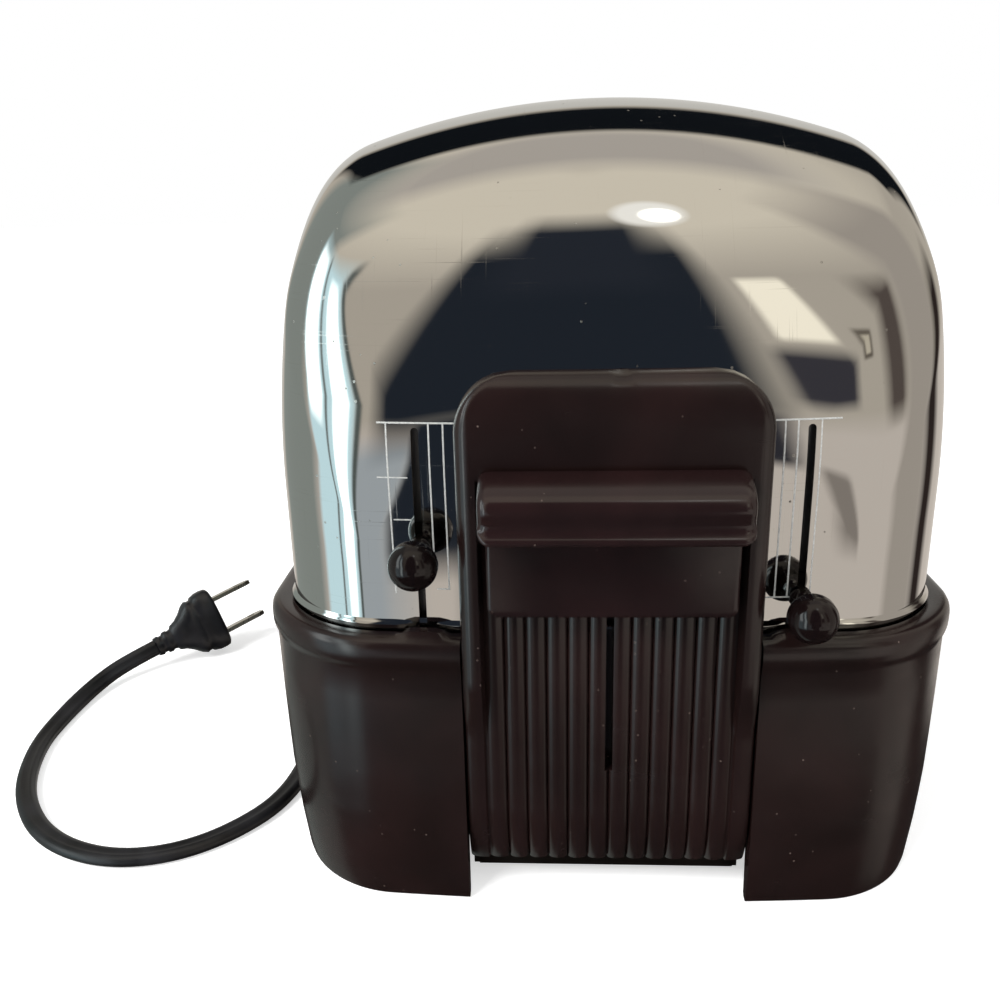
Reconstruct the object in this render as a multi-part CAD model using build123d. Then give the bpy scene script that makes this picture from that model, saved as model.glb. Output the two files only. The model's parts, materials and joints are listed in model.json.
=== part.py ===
from build123d import *
import math
import os

os.makedirs("parts", exist_ok=True)

# All sizes are millimetres. X runs across the toaster, Y from the control end to the back, Z up.
# A depth is measured backwards from the front face of the chrome shell.

# Chrome shell
shell_width = 152.0
shell_length = 240.8
crown_height = 183.0
shell_bottom = 64.0
shell_wall = 1.0
plan_corner = 24.0
brow_height = 108.0
brow_depth = 60.0
crown_radius = 180.0
shoulder_radius = 22.0
side_radius = 250.0
lean_height = 105.0
end_crown_radius = 150.0
end_shoulder_radius = 20.0
end_side_radius = 120.0
end_lean_height = 80.0

# Bread slots in the crown
slot_width = 26.0
slot_length = 126.0
slot_pitch = 40.0
slot_corner = 5.0
slot_lip_drop = 11.0

# Bakelite base
rim_overhang = 6.2
rim_top = 69.0
rim_height = 6.0
rim_round = 2.4
shell_gap = 0.6
ledge_reach = 0.6
rim_step = 0.8
waist_height = 45.0
waist_inset = 1.1
belly_height = 26.0
belly_inset = 1.8
hem_height = 12.0
hem_inset = 3.2
foot_inset = 5.0
post_radius = 6.0
post_top = 45.0
post_from_side = 11.0
notch_depth = 1.4

# Bakelite front panel
panel_width = 65.0
panel_bottom = 10.0
panel_top = 128.0
panel_proud = 8.0
panel_corner = 12.0
panel_round = 3.0
panel_back = 1.5
panel_gap = 0.3
channel_width = 55.6
hood_height = 106.0
rib_count = 12
rib_pitch = 4.63
rib_width = 3.2
rib_height = 1.4
rib_front = 4.6
cheek_fade_top = 60.0
cheek_fade_bottom = 45.0
curl_start = 26.0
curl_reach = 4.1
lever_slot_width = 1.6
lever_slot_bottom = 36.5

# Lever handle and stem
lever_travel = 48.0
handle_reach = 20.0
handle_width = 54.4
handle_top = 109.0
handle_lip = 97.0
apron_width = 52.6
apron_bottom = 77.0
apron_front = 10.0
apron_corner = 5.0
handle_clear = 0.8
stem_thickness = 1.2
stem_height = 8.0
stem_bottom = 85.0
stem_head = 8.0
stem_head_depth = 2.2

# Sliders with ball knobs
slider_x = 41.4
slider_slot_width = 1.5
slider_slot_bottom = 71.5
slider_slot_top = 115.5
browning_height = 89.0
mode_height = 77.0
ball_radius = 5.3
ball_reach = 10.9
neck_radius = 1.9
tang_thickness = 1.2
tang_height = 5.0
slider_plate_depth = 3.0
slider_plate_width = 9.0
slider_plate_height = 10.0
slider_gauge = 0.8
bracket_gap = 0.4
bracket_width = 11.0
bracket_top = 116.0

# Steel chassis
plate_bottom = 14.0
plate_gauge = 1.2
plate_clear = 0.4
end_gauge = 1.0
end_from_slot = 7.0
end_half_width = 47.0
chassis_top = 150.0
liner_gauge = 0.8
liner_drop = 0.5
shield_x = 46.0
shield_gauge = 0.6

# Lift carriage
rod_x = 12.0
rod_radius = 2.0
rod_top = 120.0
rod_depth = 24.0
bush_radius = 4.0
running_clear = 0.05
carriage_depth = 14.0
carriage_gauge = 1.5
carriage_half_width = 28.0
carriage_bottom = 72.0
carriage_top = 96.0
rack_top = 80.0
rack_height = 6.0
rack_width = 2.5
rack_slot_clear = 0.8
spring_radius = 3.6
spring_wire = 0.9
spring_turns = 7

# Guards, elements and their cards
guard_wire_radius = 0.8
guard_wire_pitch = 14.0
guard_bottom = 20.0
guard_rail_height = 4.0
card_thickness = 1.2
card_bottom = 28.0
outer_card_x = 39.0
ribbon_thickness = 0.4
ribbon_width = 2.5
ribbon_pitch = 9.0
ribbon_runs = 12
ribbon_margin = 9.0

# Latch, thermostat and switch
latch_x = 37.5
latch_pivot_height = 64.0
latch_pin_radius = 1.5
latch_boss_radius = 3.0
latch_width = 4.5
latch_thickness = 3.5
latch_outer = 2.0
latch_toe_height = 3.0
post_plate_gauge = 1.5
post_plate_in = 4.0
post_plate_out = 6.5
post_plate_above = 6.0
latch_hook_gap = 0.4
latch_depth = 14.75
tab_reach = 34.0
tab_height = 2.5
blade_height = 0.6
thermostat_x = 46.0
thermostat_width = 8.0
thermostat_near = 8.0
thermostat_depth = 12.0
thermostat_height = 9.0
strip_gauge = 0.8
strip_width = 8.0
strip_height = 54.0
switch_depth = 10.0
switch_half_width = 8.0
blade_inner = 2.0
blade_width = 4.0
contact_gap = 0.4

# Supply connection and crumb tray
cord_height = 22.0
neck_hole_clear = 0.2
terminal_gap = 15.0
lead_radius = 1.1
tray_half_width = 31.0
tray_bottom = 3.4
tray_top = 9.2
tray_gauge = 0.8
tray_clear = 0.3
tray_front = 5.0

# Screws
screw_radius = 1.5
screw_head_radius = 3.5
screw_head_height = 2.0
screw_length = 12.0

# Cord
cord_radius = 2.8
coil_outer = 38.0
coil_pitch = 6.2
coil_layer = 6.2
coil_turns = 4.5
cord_floor = 2.9
relief_neck_radius = 4.4
relief_bend = 30.0
plug_lean = 22.0

front_y = handle_reach - (shell_length + rim_overhang + handle_reach) / 2
slot_start = (shell_length - slot_length) / 2
front_plate_depth = slot_start - end_from_slot - end_gauge
rear_plate_depth = shell_length - front_plate_depth - end_gauge
plate_top = plate_bottom + plate_gauge
inner_wall_inset = rim_overhang + shell_wall + ledge_reach

parts = {}


# Helpers for pieces placed by depth behind the chrome front
def block(x0, x1, d0, d1, z0, z1):
    centre = ((x0 + x1) / 2, front_y + (d0 + d1) / 2, (z0 + z1) / 2)
    return Pos(*centre) * Box(abs(x1 - x0), d1 - d0, z1 - z0)


def upright(x, depth, z0, z1, radius):
    return Pos(x, front_y + depth, (z0 + z1) / 2) * Cylinder(radius, z1 - z0)


def level_rod(x, z, d0, d1, radius):
    return Pos(x, front_y + (d0 + d1) / 2, z) * Rot(90, 0, 0) * Cylinder(radius, d1 - d0)


def front_prism(sketch, d0, d1):
    plane = Plane((0, front_y + d1, 0), x_dir=(1, 0, 0), z_dir=(0, -1, 0))
    return extrude(plane * sketch, d1 - d0)


def side_prism(sketch, x0, x1):
    plane = Plane((x0, front_y, 0), x_dir=(0, 1, 0), z_dir=(1, 0, 0))
    return extrude(plane * sketch, x1 - x0)


def group(solids):
    return Compound(children=[piece.solid() for piece in solids])


# The chrome shell is a loft of arches, each made of side, shoulder and crown arcs
def circle_point(centre, radius, angle, y):
    return (centre[0] + radius * math.cos(angle), y, centre[1] + radius * math.sin(angle))


def mirrored(point):
    return (-point[0], point[1], point[2])


def arch_face(y, half, crown, fullness, bottom):
    def between(at_end, at_middle):
        return at_end + (at_middle - at_end) * fullness

    side_r = between(end_side_radius, side_radius)
    shoulder_r = between(end_shoulder_radius, shoulder_radius)
    crown_r = between(end_crown_radius, crown_radius)
    lean = between(end_lean_height, lean_height)
    side_c = (half - side_r, lean)
    crown_c = (0.0, crown - crown_r)
    span = math.dist(side_c, crown_c)
    step_x = (crown_c[0] - side_c[0]) / span
    step_z = (crown_c[1] - side_c[1]) / span
    side_reach = side_r - shoulder_r
    along = (side_reach**2 - (crown_r - shoulder_r) ** 2 + span**2) / (2 * span)
    out = math.sqrt(side_reach**2 - along**2)
    shoulder_c = (side_c[0] + along * step_x - out * step_z, side_c[1] + along * step_z + out * step_x)
    side_turn = math.atan2(shoulder_c[1] - side_c[1], shoulder_c[0] - side_c[0])
    crown_turn = math.atan2(shoulder_c[1] - crown_c[1], shoulder_c[0] - crown_c[0])
    foot = (half, y, bottom)
    hip = (half, y, lean)
    side_mid = circle_point(side_c, side_r, side_turn / 2, y)
    side_end = circle_point(side_c, side_r, side_turn, y)
    shoulder_mid = circle_point(shoulder_c, shoulder_r, (side_turn + crown_turn) / 2, y)
    shoulder_end = circle_point(shoulder_c, shoulder_r, crown_turn, y)
    edges = [
        Line(foot, hip),
        ThreePointArc(hip, side_mid, side_end),
        ThreePointArc(side_end, shoulder_mid, shoulder_end),
        ThreePointArc(shoulder_end, (0, y, crown), mirrored(shoulder_end)),
        ThreePointArc(mirrored(shoulder_end), mirrored(shoulder_mid), mirrored(side_end)),
        ThreePointArc(mirrored(side_end), mirrored(side_mid), mirrored(hip)),
        Line(mirrored(hip), mirrored(foot)),
        Line(mirrored(foot), foot),
    ]
    return Face(Wire([edge.edge() for edge in edges]))


def dome(inset, bottom):
    corner = plan_corner - inset
    reach = brow_depth - inset
    half_full = shell_width / 2 - inset
    crown_full = crown_height - inset
    faces = []
    steps = 9
    for step in range(steps + 1):
        depth = reach * (1 - math.cos(math.radians(90 * step / steps)))
        past_corner = min(depth / corner, 1.0)
        half = half_full - corner + corner * math.sqrt(1 - (1 - past_corner) ** 2)
        rise = math.sqrt(1 - (1 - depth / reach) ** 2)
        crown = brow_height + (crown_full - brow_height) * rise
        faces.append(arch_face(front_y + inset + depth, half, crown, rise, bottom))
    front = loft(faces)
    middle = extrude(faces[-1], amount=shell_length - 2 * brow_depth, dir=(0, 1, 0))
    centre_plane = Plane((0, front_y + shell_length / 2, 0), z_dir=(0, 1, 0))
    return front + middle + mirror(front, about=centre_plane)


def slot_prism(side, grow, z0, z1):
    outline = RectangleRounded(slot_width + 2 * grow, slot_length + 2 * grow, slot_corner + grow)
    place = Pos(side * slot_pitch / 2, front_y + shell_length / 2, z0)
    return extrude(place * outline, z1 - z0)


def make_chrome_shell():
    outer = dome(0.0, shell_bottom)
    shell = outer - dome(shell_wall, shell_bottom - 1)
    above = crown_height + 5
    lip_bottom = crown_height - slot_lip_drop
    for side in (-1, 1):
        shell += slot_prism(side, shell_wall, lip_bottom, above) & outer
        shell -= slot_prism(side, 0.0, lip_bottom - 1, above)
        x = side * slider_x
        half_slot = slider_slot_width / 2
        shell -= block(x - half_slot, x + half_slot, -1, 5, slider_slot_bottom, slider_slot_top)
    half_slit = lever_slot_width / 2 + 0.7
    shell -= block(-half_slit, half_slit, -1, 5, shell_bottom - 1, stem_bottom + stem_height + 2)
    parts["chrome_shell"] = shell


# Bakelite base: a lofted wall with a rolled rim, open in front where the panel stands
def plan_face(inset, z):
    width = shell_width + 2 * (rim_overhang - inset)
    length = shell_length + 2 * (rim_overhang - inset)
    outline = RectangleRounded(width, length, plan_corner + rim_overhang - inset)
    return Pos(0, front_y + shell_length / 2, z) * outline


def make_base_housing():
    bead_bottom = rim_top - rim_height
    levels = [
        (0.0, foot_inset),
        (hem_height, hem_inset),
        (belly_height, belly_inset),
        (waist_height, waist_inset),
        (bead_bottom, rim_step),
    ]
    wall = loft([plan_face(inset, z).face() for z, inset in levels])
    bead = extrude(plan_face(0.0, bead_bottom), rim_height)
    bead = fillet(bead.edges().group_by(Axis.Z)[-1], rim_round)
    bead = fillet(bead.edges().group_by(Axis.Z)[0], rim_step)
    base = wall + bead
    base -= extrude(plan_face(rim_overhang - shell_gap, shell_bottom), rim_height)
    base -= extrude(plan_face(inner_wall_inset, -1), rim_top + 2)
    post_x = shell_width / 2 - post_from_side
    for x in (-post_x, post_x):
        for depth in (post_from_side, shell_length - post_from_side):
            base += upright(x, depth, plate_top, post_top, post_radius)
            base -= upright(x, depth, plate_bottom - 4, plate_bottom + screw_length, screw_radius + running_clear)
    gap = panel_width / 2 + panel_gap
    base -= block(-gap, gap, -rim_overhang - 1, inner_wall_inset, -1, rim_top + 1)
    for side in (-1, 1):
        x = side * slider_x
        base -= block(x - 4.5, x + 4.5, -rim_overhang / 2, 0.5, rim_top - notch_depth, rim_top + 1)
    hole_start = shell_length + rim_overhang - inner_wall_inset - 1
    hole_radius = relief_neck_radius + neck_hole_clear
    base -= level_rod(0, cord_height, hole_start, shell_length + rim_overhang + 1, hole_radius)
    parts["base_housing"] = base


# Front panel: rounded hood, channel with ribs that curl back at the foot, and the lever slot
def curl_arc(front):
    drop = curl_start - panel_bottom
    radius = (curl_reach**2 + drop**2) / (2 * curl_reach)
    half_turn = math.asin(drop / radius) / 2
    middle = (-front + radius * (1 - math.cos(half_turn)), curl_start - radius * math.sin(half_turn))
    return ThreePointArc((-front, curl_start), middle, (-front + curl_reach, panel_bottom))


def ahead_of(front, top):
    foot = panel_bottom - 2
    outer = -panel_proud - 2
    edges = [
        Line((-front, top), (-front, curl_start)),
        curl_arc(front),
        Line((-front + curl_reach, panel_bottom), (-front + curl_reach, foot)),
        Line((-front + curl_reach, foot), (outer, foot)),
        Line((outer, foot), (outer, top)),
        Line((outer, top), (-front, top)),
    ]
    return make_face(edges)


def make_front_panel():
    height = panel_top - panel_bottom
    outline = Pos(0, panel_bottom + height / 2) * Rectangle(panel_width, height)
    outline = fillet(outline.vertices().group_by(Axis.Y)[-1], panel_corner)
    panel = front_prism(outline, -panel_proud, panel_back)
    face_edges = panel.faces().sort_by(Axis.Y)[0].edges().sort_by(Axis.Z)[1:]
    panel = fillet(face_edges, panel_round)
    envelope = make_face(
        [
            Line((panel_back, panel_bottom), (panel_back, panel_top + 1)),
            Line((panel_back, panel_top + 1), (-panel_proud - 1, panel_top + 1)),
            Line((-panel_proud - 1, panel_top + 1), (-panel_proud - 1, cheek_fade_top)),
            Line((-panel_proud - 1, cheek_fade_top), (-panel_proud, cheek_fade_top)),
            Line((-panel_proud, cheek_fade_top), (-rib_front, cheek_fade_bottom)),
            Line((-rib_front, cheek_fade_bottom), (-rib_front, curl_start)),
            curl_arc(rib_front),
            Line((-rib_front + curl_reach, panel_bottom), (panel_back, panel_bottom)),
        ]
    )
    panel &= side_prism(envelope, -panel_width / 2, panel_width / 2)
    half_channel = channel_width / 2
    panel -= side_prism(ahead_of(rib_front, hood_height), -half_channel, half_channel)
    valley = rib_pitch - rib_width
    for index in range(rib_count + 1):
        x = (index - rib_count / 2) * rib_pitch
        x0 = max(x - valley / 2, -half_channel)
        x1 = min(x + valley / 2, half_channel)
        panel -= side_prism(ahead_of(rib_front - rib_height, hood_height), x0, x1)
    half_slot = lever_slot_width / 2
    slot_top = stem_bottom + stem_height + 2
    panel -= block(-half_slot, half_slot, -panel_proud - 1, panel_back + 1, lever_slot_bottom, slot_top)
    panel -= block(-panel_width, panel_width, 0, panel_back + 1, shell_bottom - 0.5, panel_top + 1)
    parts["front_panel"] = panel


# Lever handle: a bar with a hollowed front and a flat apron, moulded round the stem's head
def make_lever():
    back = -rib_front - handle_clear
    bar_back = -panel_proud - handle_clear
    shelf = hood_height - 1.4
    front = -handle_reach
    bar = make_face(
        [
            Line((back, handle_lip), (back, shelf)),
            Line((back, shelf), (bar_back, shelf)),
            Line((bar_back, shelf), (bar_back, handle_top)),
            ThreePointArc(
                (bar_back, handle_top),
                (front + 6.0, handle_top - 0.3),
                (front + 1.6, handle_top - 1.6),
            ),
            ThreePointArc(
                (front + 1.6, handle_top - 1.6),
                (front + 0.8, handle_top - 2.4),
                (front + 1.0, handle_top - 3.6),
            ),
            ThreePointArc(
                (front + 1.0, handle_top - 3.6),
                (front + 2.6, handle_lip + 5.2),
                (front + 0.4, handle_lip + 1.6),
            ),
            ThreePointArc(
                (front + 0.4, handle_lip + 1.6),
                (front + 0.15, handle_lip + 0.4),
                (front + 1.2, handle_lip),
            ),
            Line((front + 1.2, handle_lip), (back, handle_lip)),
        ]
    )
    half = apron_width / 2
    apron_height = handle_lip - apron_bottom + 1
    apron_outline = Pos(0, apron_bottom + apron_height / 2) * Rectangle(apron_width, apron_height)
    apron_outline = fillet(apron_outline.vertices().group_by(Axis.Y)[0], apron_corner)
    apron = front_prism(apron_outline, -apron_front, back)
    handle = side_prism(bar, -handle_width / 2, handle_width / 2) + apron
    half_head = stem_head / 2
    head_top = stem_bottom + stem_height + 1
    head = block(-half_head, half_head, back - stem_head_depth, back, stem_bottom - 1, head_top)
    parts["lever_handle"] = handle - head
    half_stem = stem_thickness / 2
    stem_top = stem_bottom + stem_height
    parts["lever_stem"] = head + block(-half_stem, half_stem, back, carriage_depth, stem_bottom, stem_top)


# Ball knobs on sliders that run in slots in the chrome
def make_slider(name, x, z):
    neck_end = -(slider_gauge / 2)
    ball = Pos(x, front_y - ball_reach, z) * Sphere(ball_radius)
    knob = ball + level_rod(x, z, -ball_reach, neck_end, neck_radius)
    parts[name + "_knob"] = knob
    half_tang = tang_thickness / 2
    tang_end = slider_plate_depth + slider_gauge
    tang = block(x - half_tang, x + half_tang, neck_end, tang_end, z - tang_height / 2, z + tang_height / 2)
    half_width = slider_plate_width / 2
    half_height = slider_plate_height / 2
    shutter = block(x - half_width, x + half_width, slider_plate_depth, tang_end, z - half_height, z + half_height)
    parts[name + "_slider"] = tang + shutter


def make_control_brackets():
    near = slider_plate_depth + slider_gauge + bracket_gap
    for side_name, side in (("left", -1), ("right", 1)):
        x = side * slider_x
        half = bracket_width / 2
        bracket = block(x - half, x + half, near, near + end_gauge, plate_top, bracket_top)
        parts["control_bracket_" + side_name] = bracket


# Steel chassis
def make_base_plate():
    plate = extrude(plan_face(inner_wall_inset + plate_clear, plate_bottom), plate_gauge)
    half = tray_half_width - 0.5
    plate -= block(-half, half, front_plate_depth + 4, rear_plate_depth - 4, plate_bottom - 1, plate_top + 1)
    post_x = shell_width / 2 - post_from_side
    screws = []
    for x in (-post_x, post_x):
        for depth in (post_from_side, shell_length - post_from_side):
            plate -= upright(x, depth, plate_bottom - 1, plate_top + 1, screw_radius + neck_hole_clear)
            head = upright(x, depth, plate_bottom - screw_head_height, plate_bottom, screw_head_radius)
            screws.append(head + upright(x, depth, plate_bottom, plate_bottom + screw_length, screw_radius))
    parts["base_plate"] = plate
    parts["base_screws"] = group(screws)


def make_end_plates():
    for name, depth in (("front", front_plate_depth), ("rear", rear_plate_depth)):
        plate = block(-end_half_width, end_half_width, depth, depth + end_gauge, plate_top, chassis_top)
        half = rack_width / 2 + rack_slot_clear
        low = rack_top - rack_height - lever_travel - 1
        for side in (-1, 1):
            x = side * slot_pitch / 2
            plate -= block(x - half, x + half, depth - 1, depth + end_gauge + 1, low, rack_top + 1.5)
        parts[name + "_end_plate"] = plate


def make_top_plate():
    far = rear_plate_depth + end_gauge
    top = block(-end_half_width, end_half_width, front_plate_depth, far, chassis_top, chassis_top + end_gauge)
    liner_bottom = chassis_top + end_gauge
    liner_top = crown_height - slot_lip_drop - liner_drop
    for name, side in (("left", -1), ("right", 1)):
        top -= slot_prism(side, 0.0, chassis_top - 1, liner_bottom + 1)
        liner = slot_prism(side, liner_gauge, liner_bottom, liner_top)
        liner -= slot_prism(side, 0.0, liner_bottom - 1, liner_top + 1)
        parts["slot_liner_" + name] = liner
    parts["top_plate"] = top


def make_heat_shields():
    for name, side in (("left", -1), ("right", 1)):
        x0 = side * shield_x
        x1 = side * (shield_x + shield_gauge)
        near = front_plate_depth + end_gauge
        shield = block(min(x0, x1), max(x0, x1), near, rear_plate_depth, plate_top, chassis_top)
        parts["heat_shield_" + name] = shield


# Guide wires and heating elements, carried between the two end plates
def make_guards():
    near = front_plate_depth + end_gauge
    offset = slot_width / 2 + guard_wire_radius + 0.2
    wire_count = int((slot_length - 8) / guard_wire_pitch) + 1
    run = (wire_count - 1) * guard_wire_pitch
    for side_name, side in (("left", -1), ("right", 1)):
        for place_name, place in (("inner", -1), ("outer", 1)):
            x = side * (slot_pitch / 2 + place * offset)
            rail_top = guard_bottom + guard_rail_height
            half = guard_wire_radius
            guard = block(x - half, x + half, near, rear_plate_depth, guard_bottom, rail_top)
            for index in range(wire_count):
                depth = shell_length / 2 - run / 2 + index * guard_wire_pitch
                guard += upright(x, depth, rail_top - 1, chassis_top, guard_wire_radius)
            parts["bread_guard_" + side_name + "_" + place_name] = guard


def make_ribbon(x0, x1):
    near = front_plate_depth + end_gauge + ribbon_margin
    far = rear_plate_depth - ribbon_margin
    first = card_bottom + ribbon_margin
    ribbon = None
    for run in range(ribbon_runs):
        z = first + run * ribbon_pitch
        strip = block(x0, x1, near, far, z, z + ribbon_width)
        ribbon = strip if ribbon is None else ribbon + strip
        if run + 1 < ribbon_runs:
            start = near if run % 2 else far - ribbon_width
            ribbon += block(x0, x1, start, start + ribbon_width, z, z + ribbon_pitch + 1)
    return ribbon


def make_elements():
    near = front_plate_depth + end_gauge
    half = card_thickness / 2
    for name, x in (("left", -outer_card_x), ("centre", 0.0), ("right", outer_card_x)):
        card = block(x - half, x + half, near, rear_plate_depth, card_bottom, chassis_top)
        parts["mica_card_" + name] = card
    inner_face = half
    outer_face = outer_card_x - half
    thick = ribbon_thickness
    parts["heater_ribbon_left_inner"] = make_ribbon(-inner_face - thick, -inner_face)
    parts["heater_ribbon_right_inner"] = make_ribbon(inner_face, inner_face + thick)
    parts["heater_ribbon_left_outer"] = make_ribbon(-outer_face, -outer_face + thick)
    parts["heater_ribbon_right_outer"] = make_ribbon(outer_face - thick, outer_face)


# Lift carriage on two guide rods, with the bread racks it carries
def make_carriage():
    back = carriage_depth + carriage_gauge
    half = carriage_half_width
    carriage = block(-half, half, carriage_depth, back, carriage_bottom, carriage_top)
    tab_bottom = carriage_bottom + 2
    carriage += block(half - 1, tab_reach, carriage_depth, back, tab_bottom, tab_bottom + tab_height)
    bush_bottom = carriage_bottom + 2
    bush_top = carriage_top - 2
    for x in (-rod_x, rod_x):
        carriage += block(x - 3, x + 3, back - 0.5, rod_depth, bush_bottom, bush_top)
        carriage += upright(x, rod_depth, bush_bottom, bush_top, bush_radius)
    for x in (-rod_x, rod_x):
        bore = rod_radius + running_clear
        carriage -= upright(x, rod_depth, carriage_bottom - 1, carriage_top + 1, bore)
    parts["lift_carriage"] = carriage
    far = rear_plate_depth + end_gauge + 5
    notch_pitch = 10.0
    notch_count = int((slot_length - notch_pitch) / notch_pitch)
    for name, side in (("left", -1), ("right", 1)):
        x = side * slot_pitch / 2
        rack = block(x - rack_width / 2, x + rack_width / 2, back, far, rack_top - rack_height, rack_top)
        for index in range(notch_count):
            depth = slot_start + notch_pitch * (index + 1)
            rack -= block(x - rack_width, x + rack_width, depth - 2, depth + 2, rack_top - 2, rack_top + 1)
        parts["bread_rack_" + name] = rack
    half_bridge = 7.0
    bridge = block(-half_bridge, half_bridge, carriage_depth, carriage_depth + 4, carriage_bottom - 2, carriage_bottom)
    parts["contact_bridge"] = bridge


def make_rods():
    bracket = block(-rod_x - 8, rod_x + 8, rod_depth - 8, front_plate_depth, rod_top - 2, rod_top)
    for name, side in (("left", -1), ("right", 1)):
        x = side * rod_x
        bracket -= upright(x, rod_depth, rod_top - 3, rod_top + 1, rod_radius + running_clear)
        parts["guide_rod_" + name] = upright(x, rod_depth, plate_top, rod_top, rod_radius)
    parts["rod_bracket"] = bracket


# A wound tube is a chain of biarcs, one for each quarter turn
def biarc(start, start_dir, end, end_dir):
    chord = end - start
    both = start_dir + end_dir
    spread = 2 * (1 - start_dir.dot(end_dir))
    reach = (-chord.dot(both) + math.sqrt(chord.dot(both) ** 2 + spread * chord.dot(chord))) / spread
    joint = (start + start_dir * reach + end - end_dir * reach) * 0.5
    joint_dir = ((end - end_dir * reach) - (start + start_dir * reach)).normalized()
    first = TangentArc(start, joint, tangent=start_dir)
    second = TangentArc(joint, end, tangent=joint_dir)
    return [first.edge(), second.edge()]


def winding_edges(point_at, heading_at, turns):
    edges = []
    quarters = int(turns * 4)
    for quarter in range(quarters):
        start = quarter / 4
        end = (quarter + 1) / 4
        edges += biarc(point_at(start), heading_at(start), point_at(end), heading_at(end))
    return edges


def swept_tube(edges, radius):
    path = Wire(edges)
    start = Plane(path.position_at(0), z_dir=path.tangent_at(0))
    return sweep(start * Circle(radius), path=path), path


def least_gap(path, diameter):
    count = 700
    points = [path.position_at(index / count) for index in range(count + 1)]
    apart = int(4 * diameter / (path.length / count))
    least = 1000.0
    for first in range(0, count + 1, 2):
        for second in range(first + apart, count + 1):
            least = min(least, (points[first] - points[second]).length)
    return least - diameter


def make_springs():
    low = plate_top + spring_wire / 2 + 0.1
    high = carriage_bottom + 2 - spring_wire / 2 - 0.1
    climb = (high - low) / spring_turns
    for name, side in (("left", -1), ("right", 1)):

        def point_at(turn):
            angle = 2 * math.pi * turn
            x = side * rod_x + spring_radius * math.cos(angle)
            y = front_y + rod_depth + spring_radius * math.sin(angle)
            return Vector(x, y, low + climb * turn)

        def heading_at(turn):
            angle = 2 * math.pi * turn
            round_speed = 2 * math.pi * spring_radius
            return Vector(-round_speed * math.sin(angle), round_speed * math.cos(angle), climb).normalized()

        tube, path = swept_tube(winding_edges(point_at, heading_at, spring_turns), spring_wire / 2)
        parts["lift_spring_" + name] = tube


# Latch beside the carriage, the thermostat strip and the switch
def make_latch():
    d0 = latch_depth - latch_width / 2
    d1 = latch_depth + latch_width / 2
    post_near = d1 + 1
    post_far = post_near + post_plate_gauge
    post_high = latch_pivot_height + post_plate_above
    post = block(latch_x - post_plate_in, latch_x + post_plate_out, post_near, post_far, plate_top, post_high)
    parts["latch_post"] = post
    pin = level_rod(latch_x, latch_pivot_height, d0 - 0.5, post_near, latch_pin_radius)
    pin += level_rod(latch_x, latch_pivot_height, d0 - 1.5, d0 - 0.5, latch_pin_radius + 1.2)
    parts["latch_pin"] = pin
    hook_bottom = carriage_bottom + 2 + tab_height - lever_travel + latch_hook_gap
    outer = latch_x + latch_outer
    inner = outer - latch_thickness
    tip = tab_reach + 0.8
    lever = block(inner, outer, d0, d1, hook_bottom, latch_pivot_height)
    lever += block(tip, inner + 1, d0, d1, hook_bottom, hook_bottom + latch_toe_height)
    lever += level_rod(latch_x, latch_pivot_height, d0, d1, latch_boss_radius)
    lever -= level_rod(latch_x, latch_pivot_height, d0 - 1, d1 + 1, latch_pin_radius + running_clear)
    parts["latch_lever"] = lever


def make_thermostat():
    half = thermostat_width / 2
    far = thermostat_near + thermostat_depth
    top = plate_top + thermostat_height
    base = block(-thermostat_x - half, -thermostat_x + half, thermostat_near, far, plate_top, top)
    parts["thermostat_block"] = base
    x0 = -thermostat_x - strip_gauge / 2
    d0 = thermostat_near + (thermostat_depth - strip_width) / 2
    parts["bimetal_strip"] = block(x0, x0 + strip_gauge, d0, d0 + strip_width, top, top + strip_height)


def make_switch():
    blade_top = carriage_bottom - 2 - lever_travel - contact_gap
    blade_bottom = blade_top - blade_height
    far = front_plate_depth - 2
    half = switch_half_width
    parts["contact_block"] = block(-half, half, far - switch_depth, far, plate_top, blade_bottom)
    blades = []
    for side in (-1, 1):
        x0 = min(side * blade_inner, side * (blade_inner + blade_width))
        blade = block(x0, x0 + blade_width, carriage_depth, far - 2, blade_bottom, blade_top)
        blades.append(blade)
    parts["contact_blades"] = group(blades)


# Terminal block, leads to the switch and to the cord
def make_supply():
    near = rear_plate_depth + end_gauge + terminal_gap - 1
    far = near + 14
    top = cord_height + 3
    terminal = block(-9, 9, near, far, plate_top, top)
    screws = []
    for x in (-4.5, 4.5):
        middle = (near + far) / 2
        terminal -= upright(x, middle, top - 3, top + 1, screw_radius + running_clear)
        head = upright(x, middle, top, top + 1.8, screw_radius + 1)
        screws.append(head + upright(x, middle, top - 2.8, top, screw_radius))
    parts["terminal_block"] = terminal
    parts["terminal_screws"] = group(screws)
    height = plate_top + 3.6
    leads = []
    for lane, lift in ((0, 3.5), (1, 9.5)):
        outer = -(shield_x + 7 + 5 * lane)
        start = (-9, front_y + near + 3 + 7 * lane, height)
        route = [
            start,
            (outer, start[1], height),
            (outer, front_y + front_plate_depth - 12 + lift, height),
            (-8, front_y + front_plate_depth - 12 + lift, height),
        ]
        leads.append(swept_tube(FilletPolyline(*route, radius=6.0).edges(), lead_radius)[0])
    inner_wall = shell_length + rim_overhang - inner_wall_inset
    for x in (-2, 2):
        leads.append(level_rod(x, cord_height, far, inner_wall - 2, lead_radius))
    parts["supply_leads"] = group(leads)


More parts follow.
